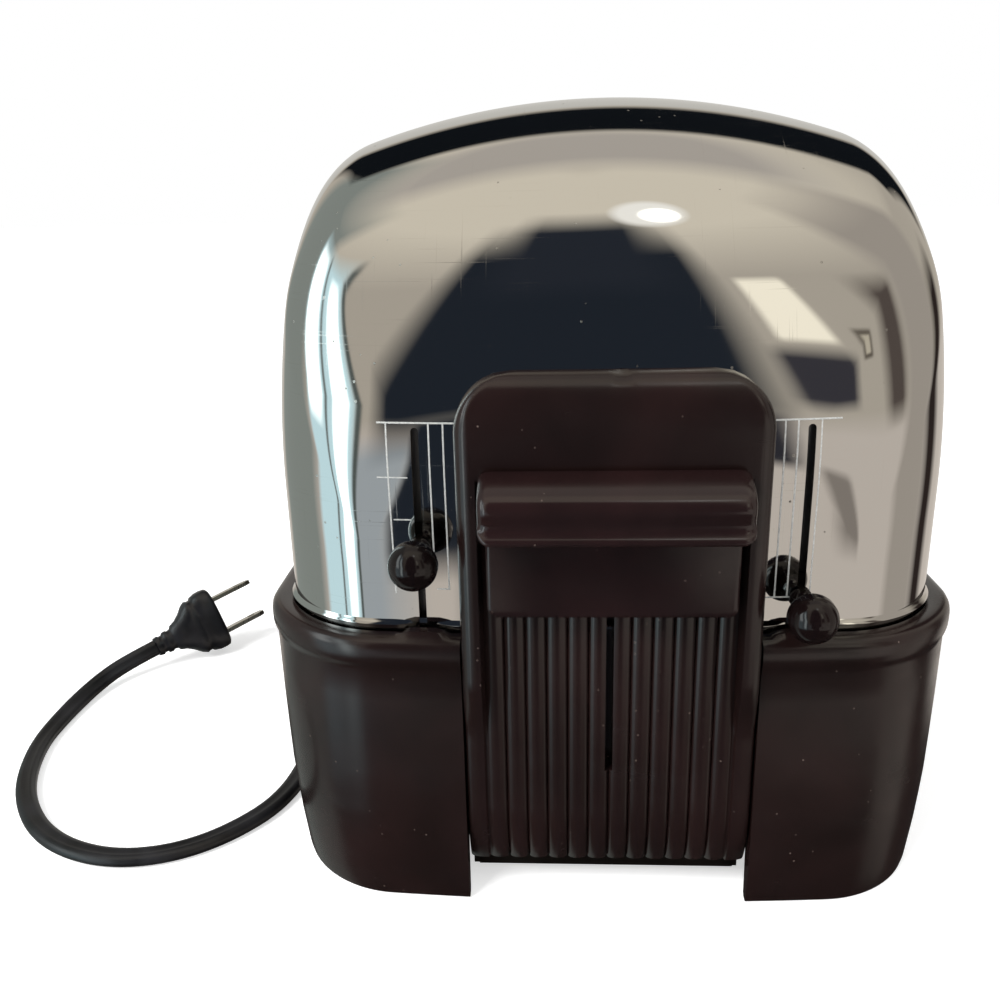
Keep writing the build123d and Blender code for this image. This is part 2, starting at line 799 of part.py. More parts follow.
# Crumb tray that slides out under the front panel
def make_crumb_tray():
    rear = rear_plate_depth + 4
    half = tray_half_width
    tray = block(-half, half, tray_front, rear, tray_bottom, tray_top)
    gauge = tray_gauge
    tray -= block(-half + gauge, half - gauge, tray_front + gauge, rear - gauge, tray_bottom + gauge, tray_top + 1)
    parts["crumb_tray"] = tray
    for name, side in (("left", -1), ("right", 1)):
        inner = half + tray_clear
        web = sorted((side * inner, side * (inner + 1.2)))
        lip = sorted((side * (half - 3), side * (inner + 1.2)))
        near = max(tray_front + 2, inner_wall_inset - rim_overhang + 1.5)
        lip_top = tray_bottom - tray_clear
        rail = block(web[0], web[1], near, rear, lip_top - 1, plate_bottom)
        rail += block(lip[0], lip[1], near, rear, lip_top - 1, lip_top)
        parts["tray_rail_" + name] = rail


# Cord: a boot at the back of the base, a wound coil behind it, and a run forward to the plug
coil_centre = Vector(-38.0, 195.0, 0)
lead_route = [(0, 153.09, 14.976), (0, 161.51, 7.911), (0, 175.2, 2.9), (0, 189.0, 2.9)]
tail_route = [
    (-76, 189, 9.1),
    (-76, 168, 9.1),
    (-81, 143, 2.9),
    (-91, 115, 2.9),
    (-96, 82, 2.9),
    (-95, 45, 2.9),
    (-91, 8, 2.9),
    (-87, -32, 2.9),
    (-84.5, -77, 2.9),
    (-101, -100.5, 2.9),
    (-123, -108.5, 2.9),
    (-146, -101, 2.9),
    (-163, -81.5, 2.9),
    (-171.5, -57, 2.9),
    (-171.8, -37, 2.9),
    (-169.2, -19.5, 3.5),
    (-163.5, -8.6, 5.5),
    (-154.7, -0.8, 8.0),
]


def make_strain_relief():
    inner_wall = shell_length + rim_overhang - inner_wall_inset
    collar = shell_length + rim_overhang - 1.2
    collar_end = collar + 1.5
    relief = level_rod(0, cord_height, inner_wall - 2, inner_wall, relief_neck_radius + 2.0)
    relief += level_rod(0, cord_height, inner_wall, collar, relief_neck_radius)
    relief += level_rod(0, cord_height, collar, collar_end, relief_neck_radius + 1.2)
    rings = []
    for turn, radius in ((0.0, 5.4), (20.0, 4.6), (40.0, 3.7)):
        angle = math.radians(turn)
        y = front_y + collar_end + relief_bend * math.sin(angle)
        z = cord_height - relief_bend * (1 - math.cos(angle))
        heading = Vector(0, math.cos(angle), -math.sin(angle))
        rings.append((Plane((0, y, z), x_dir=(1, 0, 0), z_dir=heading) * Circle(radius)).face())
    relief += loft(rings)
    parts["strain_relief"] = relief
    print("strain relief tip", y, z)


def make_free_run(name, route):
    radii = []
    for index in range(1, len(route) - 1):
        before = Vector(route[index]) - Vector(route[index - 1])
        after = Vector(route[index + 1]) - Vector(route[index])
        half_turn = math.radians(before.get_angle(after)) / 2
        radii.append(0.45 * min(before.length, after.length) / math.tan(half_turn))
    print(name, "radii", [round(radius, 1) for radius in radii])
    edges = FilletPolyline(*route, radius=radii).edges()
    tube, path = swept_tube(edges, cord_radius)
    section = math.pi * cord_radius**2
    print(name, "length", round(path.length, 1), "volume ratio", round(tube.volume / section / path.length, 4))
    parts[name] = tube


def make_coil():
    half = coil_turns / 2

    def radius_at(turn):
        return coil_outer - coil_pitch * (turn if turn < half else coil_turns - turn)

    def height_at(turn):
        share = min(max((turn - half + 0.25) / 0.5, 0.0), 1.0)
        return cord_floor + coil_layer * share * share * (3 - 2 * share)

    def point_at(turn):
        angle = 2 * math.pi * turn
        out = Vector(math.cos(angle), math.sin(angle), 0) * radius_at(turn)
        return coil_centre + out + Vector(0, 0, height_at(turn))

    def heading_at(turn):
        angle = 2 * math.pi * turn
        around = Vector(-math.sin(angle), math.cos(angle), 0) * (2 * math.pi * radius_at(turn))
        inward = 0.0 if turn in (0.0, half, coil_turns) else coil_pitch * (-1 if turn < half else 1)
        climb = 3 * coil_layer if turn == half else 0.0
        out = Vector(math.cos(angle), math.sin(angle), 0) * inward
        return (around + out + Vector(0, 0, climb)).normalized()

    straight = 2 * cord_radius + 0.4
    start = point_at(0.0)
    end = point_at(coil_turns)
    edges = [Line(start - heading_at(0.0) * straight, start).edge()]
    edges += winding_edges(point_at, heading_at, coil_turns)
    edges.append(Line(end, end + heading_at(coil_turns) * straight).edge())
    tube, path = swept_tube(edges, cord_radius)
    section = math.pi * cord_radius**2
    print("coil length", round(path.length, 1), "volume ratio", round(tube.volume / section / path.length, 4))
    print("coil least gap", round(least_gap(path, 2 * cord_radius), 2))
    parts["cord_coil"] = tube


# Two-blade plug, standing on its edge
def make_plug():
    start = Vector(tail_route[-1])
    heading = (start - Vector(tail_route[-2])).normalized()
    flat = Vector(heading.X, heading.Y, 0).normalized()
    across = flat.cross(Vector(0, 0, 1))
    wide = across.rotate(Axis((0, 0, 0), heading), 90 - plug_lean)
    frame = Plane(start, x_dir=wide, z_dir=heading)
    rings = []
    for reach, width, depth in ((0, 7.0, 6.4), (8, 11.0, 8.6), (15, 20.0, 12.0), (22, 23.0, 13.0)):
        rings.append((frame.offset(reach) * Ellipse(width / 2, depth / 2)).face())
    body = loft(rings)
    body += extrude(rings[-1], 2.0, dir=heading)
    parts["plug_body"] = body
    blades = []
    for side in (-1, 1):
        blade = frame.offset(24) * Pos(side * 6.35, 0, 8) * Box(1.5, 6.4, 16)
        blades.append(blade)
    parts["plug_blades"] = group(blades)
    low = body.bounding_box().min.Z
    print("plug lowest point", round(low, 2))


make_chrome_shell()
make_base_housing()
make_front_panel()
make_lever()
make_slider("browning", -slider_x, browning_height)
make_slider("mode", slider_x, mode_height)
make_control_brackets()
make_base_plate()
make_end_plates()
make_top_plate()
make_heat_shields()
make_guards()
make_elements()
make_carriage()
make_rods()
make_springs()
make_latch()
make_thermostat()
make_switch()
make_supply()
make_crumb_tray()
make_strain_relief()
make_free_run("cord_lead", lead_route)
make_coil()
make_free_run("cord_tail", tail_route)
make_plug()

for name, shape in parts.items():
    export_step(shape, f"parts/{name}.step")
print(len(parts), "nodes")
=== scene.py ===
import bpy
import json
import math
from mathutils import Matrix, Vector
from mathutils.bvhtree import BVHTree
from mathutils.interpolate import poly_3d_calc


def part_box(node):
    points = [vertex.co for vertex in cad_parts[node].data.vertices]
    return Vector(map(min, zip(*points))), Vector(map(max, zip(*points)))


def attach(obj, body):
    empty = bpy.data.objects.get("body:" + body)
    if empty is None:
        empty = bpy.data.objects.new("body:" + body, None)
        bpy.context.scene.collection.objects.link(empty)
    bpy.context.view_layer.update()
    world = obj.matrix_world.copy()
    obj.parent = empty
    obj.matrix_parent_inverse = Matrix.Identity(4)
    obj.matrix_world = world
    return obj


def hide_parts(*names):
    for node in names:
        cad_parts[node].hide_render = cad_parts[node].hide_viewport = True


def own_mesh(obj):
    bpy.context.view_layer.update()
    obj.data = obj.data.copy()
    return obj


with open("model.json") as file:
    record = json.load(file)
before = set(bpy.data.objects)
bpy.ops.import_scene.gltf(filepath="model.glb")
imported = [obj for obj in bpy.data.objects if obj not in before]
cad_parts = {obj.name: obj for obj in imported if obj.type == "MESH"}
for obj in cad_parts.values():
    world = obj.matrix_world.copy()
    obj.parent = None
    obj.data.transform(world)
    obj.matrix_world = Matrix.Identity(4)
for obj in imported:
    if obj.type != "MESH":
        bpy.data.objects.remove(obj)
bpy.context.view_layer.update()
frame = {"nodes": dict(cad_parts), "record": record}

mm = 0.001
frontY = -113.5  # chrome front, in mm
shellLength = 240.8
middleY = frontY + shellLength / 2


# Small helpers
def toLinear(hexColour):
    values = [int(hexColour[i:i + 2], 16) / 255 for i in (1, 3, 5)]
    return [v / 12.92 if v <= 0.04045 else ((v + 0.055) / 1.055) ** 2.4 for v in values] + [1.0]


def addNode(tree, kind, settings=None, links=None, out=0):
    # settings are attributes or input values, links are input name: socket; out picks what is handed back
    node = tree.nodes.new(kind)
    for name, value in (settings or {}).items():
        if isinstance(name, int) or name in node.inputs:
            node.inputs[name].default_value = value
        else:
            setattr(node, name, value)
    for name, socket in (links or {}).items():
        tree.links.new(socket, node.inputs[name])
    return node if out is None else node.outputs[out]


def newMesh(name, verts, faces, scale=mm):
    mesh = bpy.data.meshes.new(name)
    mesh.from_pydata([[c * scale for c in v] for v in verts], [], faces)
    mesh.validate()
    mesh.update()
    return mesh


def intoScene(name, data):
    holder = bpy.data.objects.new(name, data)
    bpy.context.scene.collection.objects.link(holder)
    return holder


def settledMesh(holder):
    # the mesh of a curve, or of a piece with modifiers, once everything is worked out
    bpy.context.view_layer.update()
    return bpy.data.meshes.new_from_object(holder.evaluated_get(bpy.context.evaluated_depsgraph_get()))


def addMesh(name, verts, faces, body, material, smooth=True, scale=mm):
    piece = intoScene(name, newMesh(name, verts, faces, scale))
    piece.data.materials.append(material)
    for face in piece.data.polygons:
        face.use_smooth = smooth
    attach(piece, body)
    return piece


def bridgeRings(count, size, closed=True, start=0):
    # quads between rings of equal size, one after another
    faces = []
    span = size if closed else size - 1
    for ring in range(count - 1):
        for i in range(span):
            a = start + ring * size + i
            b = start + ring * size + (i + 1) % size
            faces.append((a, b, b + size, a + size))
    return faces


def turnedOver(faces):
    return [tuple(reversed(face)) for face in faces]


def tube(count, size):
    # rings joined into a closed solid, with a cap at each end
    return bridgeRings(count, size) + [tuple(reversed(range(size))),
                                       tuple(range((count - 1) * size, count * size))]


def sharpen(piece, degrees=35):
    piece.data.set_sharp_from_angle(angle=math.radians(degrees))


def ease(value, low, high):
    share = min(max((value - low) / (high - low), 0.0), 1.0)
    return share * share * (3 - 2 * share)


def around(count, start=0.0, sweep=2 * math.pi):
    # this many equal turns from start, without the last one
    return [start + sweep * i / count for i in range(count)]


def quarter(count):
    return [math.pi / 2 * i / count for i in range(count + 1)]


def powered(value, power):
    # a cosine or sine flattened towards a rounded square
    return math.copysign(abs(value) ** power, value)


# Camera
cameraSet = dict(
    lens=35.3, sensor=36, clip=0.01, place=(-11.9, -311.3, 165.6), yaw=3.35, pitch=18.28, roll=-1.40,
)
camera = intoScene("camera", bpy.data.cameras.new("camera"))
camera.data.lens = cameraSet["lens"]
camera.data.sensor_width = cameraSet["sensor"]
camera.data.clip_start = cameraSet["clip"]
turn = Matrix.Rotation(math.radians(cameraSet["yaw"]), 4, "Z")
tip = Matrix.Rotation(math.radians(90 - cameraSet["pitch"]), 4, "X")
lean = Matrix.Rotation(math.radians(cameraSet["roll"]), 4, "Z")
camera.matrix_world = Matrix.Translation(Vector(cameraSet["place"]) * mm) @ turn @ tip @ lean
bpy.context.scene.camera = camera
print("camera set")


# Materials
def perMm(size):
    return 1000.0 / size  # texture scale for a feature this many mm across


def limits(low, high, bottom=0.0, top=1.0):
    # settings of a range: what runs from low to high comes out from bottom to top
    return {"From Min": low, "From Max": high, "To Min": bottom, "To Max": top}


def twoColours(first, second):
    return {"data_type": "RGBA", 6: toLinear(first), 7: toLinear(second)}


def startMaterial(name, hexColour, metallic, roughness, **others):
    material = bpy.data.materials.new(name)
    material.use_nodes = True
    tree = material.node_tree
    shader = tree.nodes["Principled BSDF"]
    shader.inputs["Base Color"].default_value = toLinear(hexColour)
    shader.inputs["Metallic"].default_value = metallic
    shader.inputs["Roughness"].default_value = roughness
    for key, value in others.items():
        shader.inputs[key].default_value = value
    place = addNode(tree, "ShaderNodeTexCoord", out="Object")
    return material, tree, shader, place


def pattern(tree, place, kind, size, levels=None, turnBy=(0, 0, 0), **settings):
    # a texture with features this many mm across; three sizes stretch it, and levels bring out a part of it
    if isinstance(size, tuple):
        stretch = {"Scale": [perMm(s) for s in size], "Rotation": turnBy}
        place = addNode(tree, "ShaderNodeMapping", stretch, {"Vector": place})
        settings["Scale"] = 1.0
    else:
        settings["Scale"] = perMm(size)
    texture = addNode(tree, "ShaderNodeTex" + kind, settings, {"Vector": place})
    return addNode(tree, "ShaderNodeMapRange", limits(*levels), {"Value": texture}) if levels else texture


def finishMaterial(tree, shader, tint, rough, heights, depth, strength):
    # colour and roughness from their patterns, and a bump this many mm deep
    settings = {"Distance": depth * mm, "Strength": strength}
    bump = addNode(tree, "ShaderNodeBump", settings, {"Height": heights})
    for name, socket in (("Base Color", tint), ("Roughness", rough), ("Normal", bump)):
        if socket:
            tree.links.new(socket, shader.inputs[name])


chromeSet = dict(colour="#CFCECB", hazy="#BDBBB6", roughness=(0.025, 0.06), wornRoughness=0.42,
                 hairline=0.35)
hairlineRuns = [((26, 26, 0.35), 0.3), ((30, 30, 0.30), -0.5), ((0.4, 24, 24), 0.2)]  # size in mm, lean


def polishedChrome():
    # chromium plate polished to a mirror: fine hairlines, a few specks of pitting and a slight haze
    material, tree, shader, place = startMaterial("polishedChrome", chromeSet["colour"], 1.0, 0.03)
    hairlines = None
    for size, lean in hairlineRuns:
        turnBy = (lean, lean * 0.6, lean * 2)
        run = pattern(tree, place, "Noise", size, (0.70, 0.76), turnBy, Detail=1.0, Roughness=0.4)
        links = {0: hairlines, 1: run}
        hairlines = addNode(tree, "ShaderNodeMath", {"operation": "MAXIMUM"}, links) if hairlines else run
    patches = pattern(tree, place, "Noise", 30, (0.45, 0.62), Detail=3.0)
    scratches = addNode(tree, "ShaderNodeMath", {"operation": "MULTIPLY"}, {0: hairlines, 1: patches})
    faint = {"operation": "MULTIPLY", 1: chromeSet["hairline"]}
    scratches = addNode(tree, "ShaderNodeMath", faint, {0: scratches})
    specks = pattern(tree, place, "Voronoi", 4.2, (0.085, 0.05), Randomness=1.0)
    rare = pattern(tree, place, "Noise", 16, (0.50, 0.56), Detail=2.0)
    specks = addNode(tree, "ShaderNodeMath", {"operation": "MULTIPLY"}, {0: specks, 1: rare})
    worn = addNode(tree, "ShaderNodeMath", {"operation": "MAXIMUM"}, {0: specks, 1: scratches})
    haze = pattern(tree, place, "Noise", 55, (0.35, 0.7, *chromeSet["roughness"]), Detail=4.0)
    rougher = {"operation": "MULTIPLY_ADD", 1: chromeSet["wornRoughness"]}
    rough = addNode(tree, "ShaderNodeMath", rougher, {0: worn, 2: haze})
    tint = addNode(tree, "ShaderNodeMix", twoColours(chromeSet["colour"], chromeSet["hazy"]), {0: worn}, 2)
    finishMaterial(tree, shader, tint, rough, worn, 0.002, 0.25)
    return material


def mouldedBakelite(name, colour, darker, roughness, dust, ior=1.52):
    # pressed phenolic: deep brown gloss with a faint flow figure, soft rub marks and a few grains of dust
    material, tree, shader, place = startMaterial(name, colour, 0.0, roughness, IOR=ior)
    figure = pattern(tree, place, "Noise", (38, 38, 60), (0.35, 0.68), Detail=5.0, Distortion=1.2)
    tint = addNode(tree, "ShaderNodeMix", twoColours(darker, colour), {0: figure}, 2)
    grains = pattern(tree, place, "Voronoi", 2.6, (0.10, 0.06), Randomness=1.0)
    rare = pattern(tree, place, "Noise", 12, (0.56, 0.62), Detail=2.0)
    grains = addNode(tree, "ShaderNodeMath", {"operation": "MULTIPLY"}, {0: grains, 1: rare})
    grains = addNode(tree, "ShaderNodeMath", {"operation": "MULTIPLY", 1: dust}, {0: grains})
    dusty = {"data_type": "RGBA", 7: toLinear("#8C7C72")}
    tint = addNode(tree, "ShaderNodeMix", dusty, {0: grains, 6: tint}, 2)
    levels = (0.45, 0.8, roughness - 0.02, roughness + 0.07)
    rubs = pattern(tree, place, "Noise", (16, 16, 5), levels, (0.2, 0.1, 0.4), Detail=4.0)
    ripple = pattern(tree, place, "Noise", 9, Detail=3.0)
    finishMaterial(tree, shader, tint, rubs, ripple, 0.05, 0.35)
    return material


def softRubber(name, colour, roughness):
    # black rubber with a dull bloom and small scuffs
    material, tree, shader, place = startMaterial(name, colour, 0.0, roughness, IOR=1.52)
    bloom = pattern(tree, place, "Noise", 14, Detail=5.0)
    dull = addNode(tree, "ShaderNodeMapRange", limits(0.4, 0.75), {"Value": bloom})
    tint = addNode(tree, "ShaderNodeMix", twoColours(colour, "#26262A"), {0: dull}, 2)
    levels = limits(0.35, 0.7, roughness - 0.08, roughness + 0.1)
    rough = addNode(tree, "ShaderNodeMapRange", levels, {"Value": bloom})
    pores = pattern(tree, place, "Noise", 0.8, Detail=2.0)
    finishMaterial(tree, shader, tint, rough, pores, 0.05, 0.4)
    return material


def rolledSteel(name, colour, darker, roughness, grain):
    # plated sheet or wire: satin lines along the way it was rolled, with heat stain in patches
    material, tree, shader, place = startMaterial(name, colour, 1.0, roughness)
    lines = pattern(tree, place, "Noise", grain, Detail=3.0)
    stain = pattern(tree, place, "Noise", 35, (0.4, 0.7), Detail=4.0)
    tint = addNode(tree, "ShaderNodeMix", twoColours(colour, darker), {0: stain}, 2)
    levels = limits(0.3, 0.7, roughness - 0.06, roughness + 0.12)
    rough = addNode(tree, "ShaderNodeMapRange", levels, {"Value": lines})
    finishMaterial(tree, shader, tint, rough, lines, 0.02, 0.4)
    return material


def mineral(name, colour, other, roughness, size, bumpDepth, metallic=0.0):
    # fired or pressed mineral: mottled, dull and slightly gritty
    material, tree, shader, place = startMaterial(name, colour, metallic, roughness)
    flakes = pattern(tree, place, "Voronoi", size, Randomness=1.0)
    cloud = pattern(tree, place, "Noise", size * 2, Detail=5.0)
    both = addNode(tree, "ShaderNodeMath", {"operation": "MULTIPLY"}, {0: flakes, 1: cloud})
    mottle = addNode(tree, "ShaderNodeMapRange", limits(0.05, 0.4), {"Value": both})
    tint = addNode(tree, "ShaderNodeMix", twoColours(colour, other), {0: mottle}, 2)
    finishMaterial(tree, shader, tint, None, both, bumpDepth, 0.5)
    return material


def wovenSleeve():
    # glass-fibre sleeving: an over-and-under weave, drawn about 0.8 mm a pick so that it shows
    material, tree, shader, place = startMaterial("wovenSleeve", "#B9AE98", 0.0, 0.8)
    scale = perMm(5.0)
    wave = addNode(tree, "ShaderNodeTexWave", {"Scale": scale}, {"Vector": place}, 1)
    cross = addNode(tree, "ShaderNodeTexWave", {"Scale": scale, "bands_direction": "Y"}, {"Vector": place},
                    1)
    weave = addNode(tree, "ShaderNodeMath", {"operation": "MULTIPLY"}, {0: wave, 1: cross})
    tint = addNode(tree, "ShaderNodeMix", twoColours("#8F846F", "#C4B9A2"), {0: weave}, 2)
    finishMaterial(tree, shader, tint, None, weave, 0.1, 0.6)
    return material


chrome = polishedChrome()
bakelite = mouldedBakelite("mouldedBakelite", "#211413", "#170E0D", 0.23, 0.35)
leverBakelite = mouldedBakelite("leverBakelite", "#231515", "#1A1010", 0.17, 0.2)
knobBakelite = mouldedBakelite("knobBakelite", "#140C0C", "#0D0808", 0.12, 0.15, ior=1.42)
cordRubber = softRubber("cordRubber", "#0C0C0E", 0.42)
plugRubber = softRubber("plugRubber", "#0D0D10", 0.36)
platedSteel = rolledSteel("platedSteel", "#9C9A96", "#7D7770", 0.34, (40, 40, 0.6))
sheetSteel = rolledSteel("sheetSteel", "#A9A7A2", "#8A8074", 0.30, (0.5, 60, 60))
# a much darker steel for the parts that sit under the base and inside the chrome
darkTraySteel = rolledSteel("darkTraySteel", "#3A3430", "#241F1C", 0.5, (40, 0.8, 40))
oxidisedRibbon = rolledSteel("oxidisedRibbon", "#5A514B", "#43372F", 0.55, (30, 1.0, 1.0))
plugBrass = rolledSteel("nickelledBrass", "#C9C6BC", "#B3AC9A", 0.28, (0.6, 20, 20))
brass = rolledSteel("stampedBrass", "#B08D4E", "#8A6A38", 0.32, (0.6, 30, 30))
micaSheet = mineral("micaSheet", "#9C8A6C", "#C2B394", 0.45, 3.0, 0.05)
porcelain = mineral("porcelain", "#D9D3C4", "#C9C0AC", 0.5, 1.2, 0.03)
sleeving = wovenSleeve()
# acid-etched lines, so dull and pale
frosting = mineral("etchedLine", "#D8D8D4", "#BFC0BE", 0.62, 0.5, 0.01, metallic=0.35)

slotFinish = {
    "chrome": chrome, "bakelite": bakelite, "steel": platedSteel, "plated_sheet": sheetSteel,
    "mica": micaSheet, "resistance_ribbon": oxidisedRibbon, "porcelain": porcelain, "brass": brass,
    "cord_rubber": cordRubber, "lead_sleeve": sleeving,
}
for part in frame["record"]["subparts"]:
    node = frame["nodes"][part["node"]]
    node.data.materials.clear()
    node.data.materials.append(slotFinish[part["material_slot"]])
frame["nodes"]["strain_relief"].data.materials[0] = plugRubber
# the crumb tray, its rails and the two sliders, under the base and inside the chrome, are drawn in this much
# darker steel
for dull in ("crumb_tray", "tray_rail_left", "tray_rail_right", "browning_slider", "mode_slider"):
    frame["nodes"][dull].data.materials[0] = darkTraySteel
print("materials made")


# Cord: one flat twin lead from the boot through the coil to the plug
cordSet = dict(
    width=5.6, thick=3.5, coilCentre=(-38.0, 195.0), coilOuter=38.0, pitch=6.2, turns=4.5, stepsPerTurn=16,
    floor=1.9, layer=3.6, sides=28, squareness=(0.75, 0.8), valleyDepth=0.22, valleyWidth=0.7,
    turnsToPlug=70.0,
)
leadRoute = [(0, 153.09, 14.976), (0, 161.51, 7.911), (0, 175.2, 2.2)]
tailRoute = [
    (-76, 168, 5.4), (-81, 143, 1.9), (-91, 115, 1.9), (-96, 82, 1.9), (-95, 45, 1.9), (-91, 8, 1.9),
    (-87, -32, 1.9), (-84.5, -77, 1.9), (-101, -100.5, 1.9), (-123, -108.5, 1.9), (-146, -101, 1.9),
    (-163, -81.5, 1.9), (-171.5, -57, 1.9), (-171.8, -37, 2.2), (-169.2, -19.5, 3.3), (-163.5, -8.6, 5.5),
    (-154.7, -0.8, 8.0),
]


def coilPoint(turnCount):
    half = cordSet["turns"] / 2
    inward = turnCount if turnCount < half else cordSet["turns"] - turnCount
    radius = cordSet["coilOuter"] - cordSet["pitch"] * inward
    height = cordSet["floor"] + cordSet["layer"] * ease(turnCount, half - 0.25, half + 0.25)
    angle = 2 * math.pi * turnCount
    centre = cordSet["coilCentre"]
    return (centre[0] + radius * math.cos(angle), centre[1] + radius * math.sin(angle), height)


coilSteps = int(cordSet["turns"] * cordSet["stepsPerTurn"])
coilPoints = [coilPoint(step / cordSet["stepsPerTurn"]) for step in range(coilSteps + 1)]
routePoints = leadRoute + coilPoints + tailRoute
route = bpy.data.curves.new("cordRoute", "CURVE")
route.dimensions = "3D"
spline = route.splines.new("NURBS")
spline.points.add(len(routePoints) - 1)
for point, place in zip(spline.points, routePoints):
    point.co = (place[0] * mm, place[1] * mm, place[2] * mm, 1)
spline.order_u = 3
spline.use_endpoint_u = True
spline.resolution_u = 10
routeLine = intoScene("cordRoute", route)
path = [v.co.copy() for v in settledMesh(routeLine).vertices]
bpy.data.objects.remove(routeLine)
cordLength = sum((b - a).length for a, b in zip(path, path[1:]))

plugSet = dict(  # the stations are written for the nominal length
    length=24.0, nominal=27.0, lean=22.0, sides=56, bladePitch=12.7, bladeThick=1.24, bladeBevel=0.13,
    bladeHole=1.55,
)


def plugFrame():
    # heading of the plug, its wide way across and its thin way
    start = Vector(tailRoute[-1])
    heading = (start - Vector(tailRoute[-2])).normalized()
    flat = Vector((heading.x, heading.y, 0)).normalized()
    across = flat.cross(Vector((0, 0, 1)))
    wide = (Matrix.Rotation(math.radians(90 - plugSet["lean"]), 3, heading) @ across).normalized()
    thin = heading.cross(wide).normalized()
    return start, heading, wide, thin


plugStart, plugHeading, plugWide, plugThin = plugFrame()


def twinSection():
    # two round cores side by side with a shallow valley between them
    points = []
    for angle in around(cordSet["sides"]):
        x = cordSet["width"] / 2 * powered(math.cos(angle), cordSet["squareness"][0])
        dip = 1 - cordSet["valleyDepth"] * math.exp(-((x / cordSet["valleyWidth"]) ** 2))
        points.append((x, cordSet["thick"] / 2 * powered(math.sin(angle), cordSet["squareness"][1]) * dip))
    return points


section = twinSection()
cordVerts = []
travelled = 0.0
for index, point in enumerate(path):
    before = path[max(index - 1, 0)]
    after = path[min(index + 1, len(path) - 1)]
    heading = (after - before).normalized()
    if index:
        travelled += (point - path[index - 1]).length
    wide = heading.cross(Vector((0, 0, 1))).normalized()
    toPlug = 1 - ease(cordLength - travelled, 0.0, cordSet["turnsToPlug"] * mm)
    wide = wide.lerp(plugWide if plugWide.dot(wide) > 0 else -plugWide, toPlug).normalized()
    wide = (wide - heading * wide.dot(heading)).normalized()
    thin = wide.cross(heading).normalized()
    cordVerts += [point + (wide * x + thin * z) * mm for x, z in section]
cordFaces = tube(len(path), len(section))
supplyCord = addMesh("supplyCord", cordVerts, cordFaces, "case", cordRubber, scale=1)
sharpen(supplyCord, 60)
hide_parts("cord_lead", "cord_coil", "cord_tail")
print("cord made, mm:", round(cordLength * 1000))


# Plug
def superRing(centre, halfWide, halfThin, power):
    ring = []
    for angle in around(plugSet["sides"]):
        x = halfWide * powered(math.cos(angle), power)
        z = halfThin * powered(math.sin(angle), power)
        ring.append(centre + plugWide * x + plugThin * z)
    return ring


plugStations = [  # along the nominal length, half width, half thickness, squareness
    (-0.3, 2.6, 1.9, 1.0), (0.0, 3.3, 2.9, 0.95), (1.6, 3.6, 3.2, 0.95), (2.2, 3.15, 2.8, 0.95),
    (3.4, 3.2, 2.8, 0.95), (4.0, 3.9, 3.4, 0.95), (5.4, 4.0, 3.5, 0.95), (6.0, 3.6, 3.2, 0.95),
    (7.4, 3.8, 3.4, 0.9), (8.2, 4.8, 4.2, 0.9), (10.5, 5.6, 4.5, 0.85), (13.0, 7.2, 5.0, 0.8),
    (15.5, 9.4, 5.7, 0.75), (17.2, 10.3, 6.0, 0.72), (18.0, 10.0, 5.8, 0.72), (19.4, 10.0, 5.8, 0.72),
    (20.2, 10.8, 6.2, 0.7), (22.5, 11.4, 6.4, 0.68), (25.0, 11.5, 6.5, 0.66), (26.4, 11.3, 6.35, 0.66),
    (27.0, 10.6, 5.8, 0.66), (27.0, 9.6, 4.9, 0.7), (26.7, 9.2, 4.5, 0.7), (26.7, 3.0, 2.0, 0.8),
]
plugVerts = []
for reach, halfWide, halfThin, power in plugStations:
    centre = plugStart + plugHeading * reach * plugSet["length"] / plugSet["nominal"]
    plugVerts += superRing(centre, halfWide, halfThin, power)
plugFaces = tube(len(plugStations), plugSet["sides"])
plugBody = addMesh("plugMoulding", plugVerts, plugFaces, "case", plugRubber)
sharpen(plugBody, 50)
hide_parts("plug_body")


def bladeOutline():
    # 6.4 by 16 mm with a pointed tip, and a hole near it
    outer = [(-3.2, -0.6), (3.2, -0.6), (3.2, 13.8), (2.2, 15.7), (-2.2, 15.7), (-3.2, 13.8)]
    radius = plugSet["bladeHole"]
    hole = [(radius * math.cos(a), 11.4 + radius * math.sin(a)) for a in around(24)]
    return outer, hole


for side, name in ((-1, "plugBladeLower"), (1, "plugBladeUpper")):
    shape = bpy.data.curves.new("plugBlade", "CURVE")
    shape.dimensions = "2D"
    shape.fill_mode = "BOTH"
    shape.extrude = plugSet["bladeThick"] / 2 * mm
    shape.bevel_depth = plugSet["bladeBevel"] * mm
    shape.bevel_resolution = 2
    for outline in bladeOutline():
        loop = shape.splines.new("POLY")
        loop.points.add(len(outline) - 1)
        loop.use_cyclic_u = True
        for point, (x, y) in zip(loop.points, outline):
            point.co = (x * mm, y * mm, 0, 1)
    holder = intoScene("plugBladeShape", shape)
    root = plugStart + plugHeading * (plugSet["length"] - 0.1) + plugWide * side * plugSet["bladePitch"] / 2
    axes = Matrix((plugThin, plugHeading, plugWide)).transposed().to_4x4()
    holder.matrix_world = Matrix.Translation(root * mm) @ axes
    solid = settledMesh(holder)
    verts = [holder.matrix_world @ v.co for v in solid.vertices]
    faces = [tuple(p.vertices) for p in solid.polygons]
    bpy.data.objects.remove(holder)
    addMesh(name, verts, faces, "case", plugBrass, smooth=False, scale=1)
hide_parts("plug_blades")
print("plug made")


# Chrome shell
shellSet = dict(
    width=152.0, crown=183.0, bottom=64.0, wall=0.7, corner=24.0, browHeight=108.0, browDepth=60.0,
    side=(120, 250), shoulder=(20, 22), crownArc=(150, 180), lean=(80, 105), bow=1440.0,
    footSteps=8, arcSteps=(18, 20, 24), browSteps=44, lengthSteps=14, capSteps=12,
)


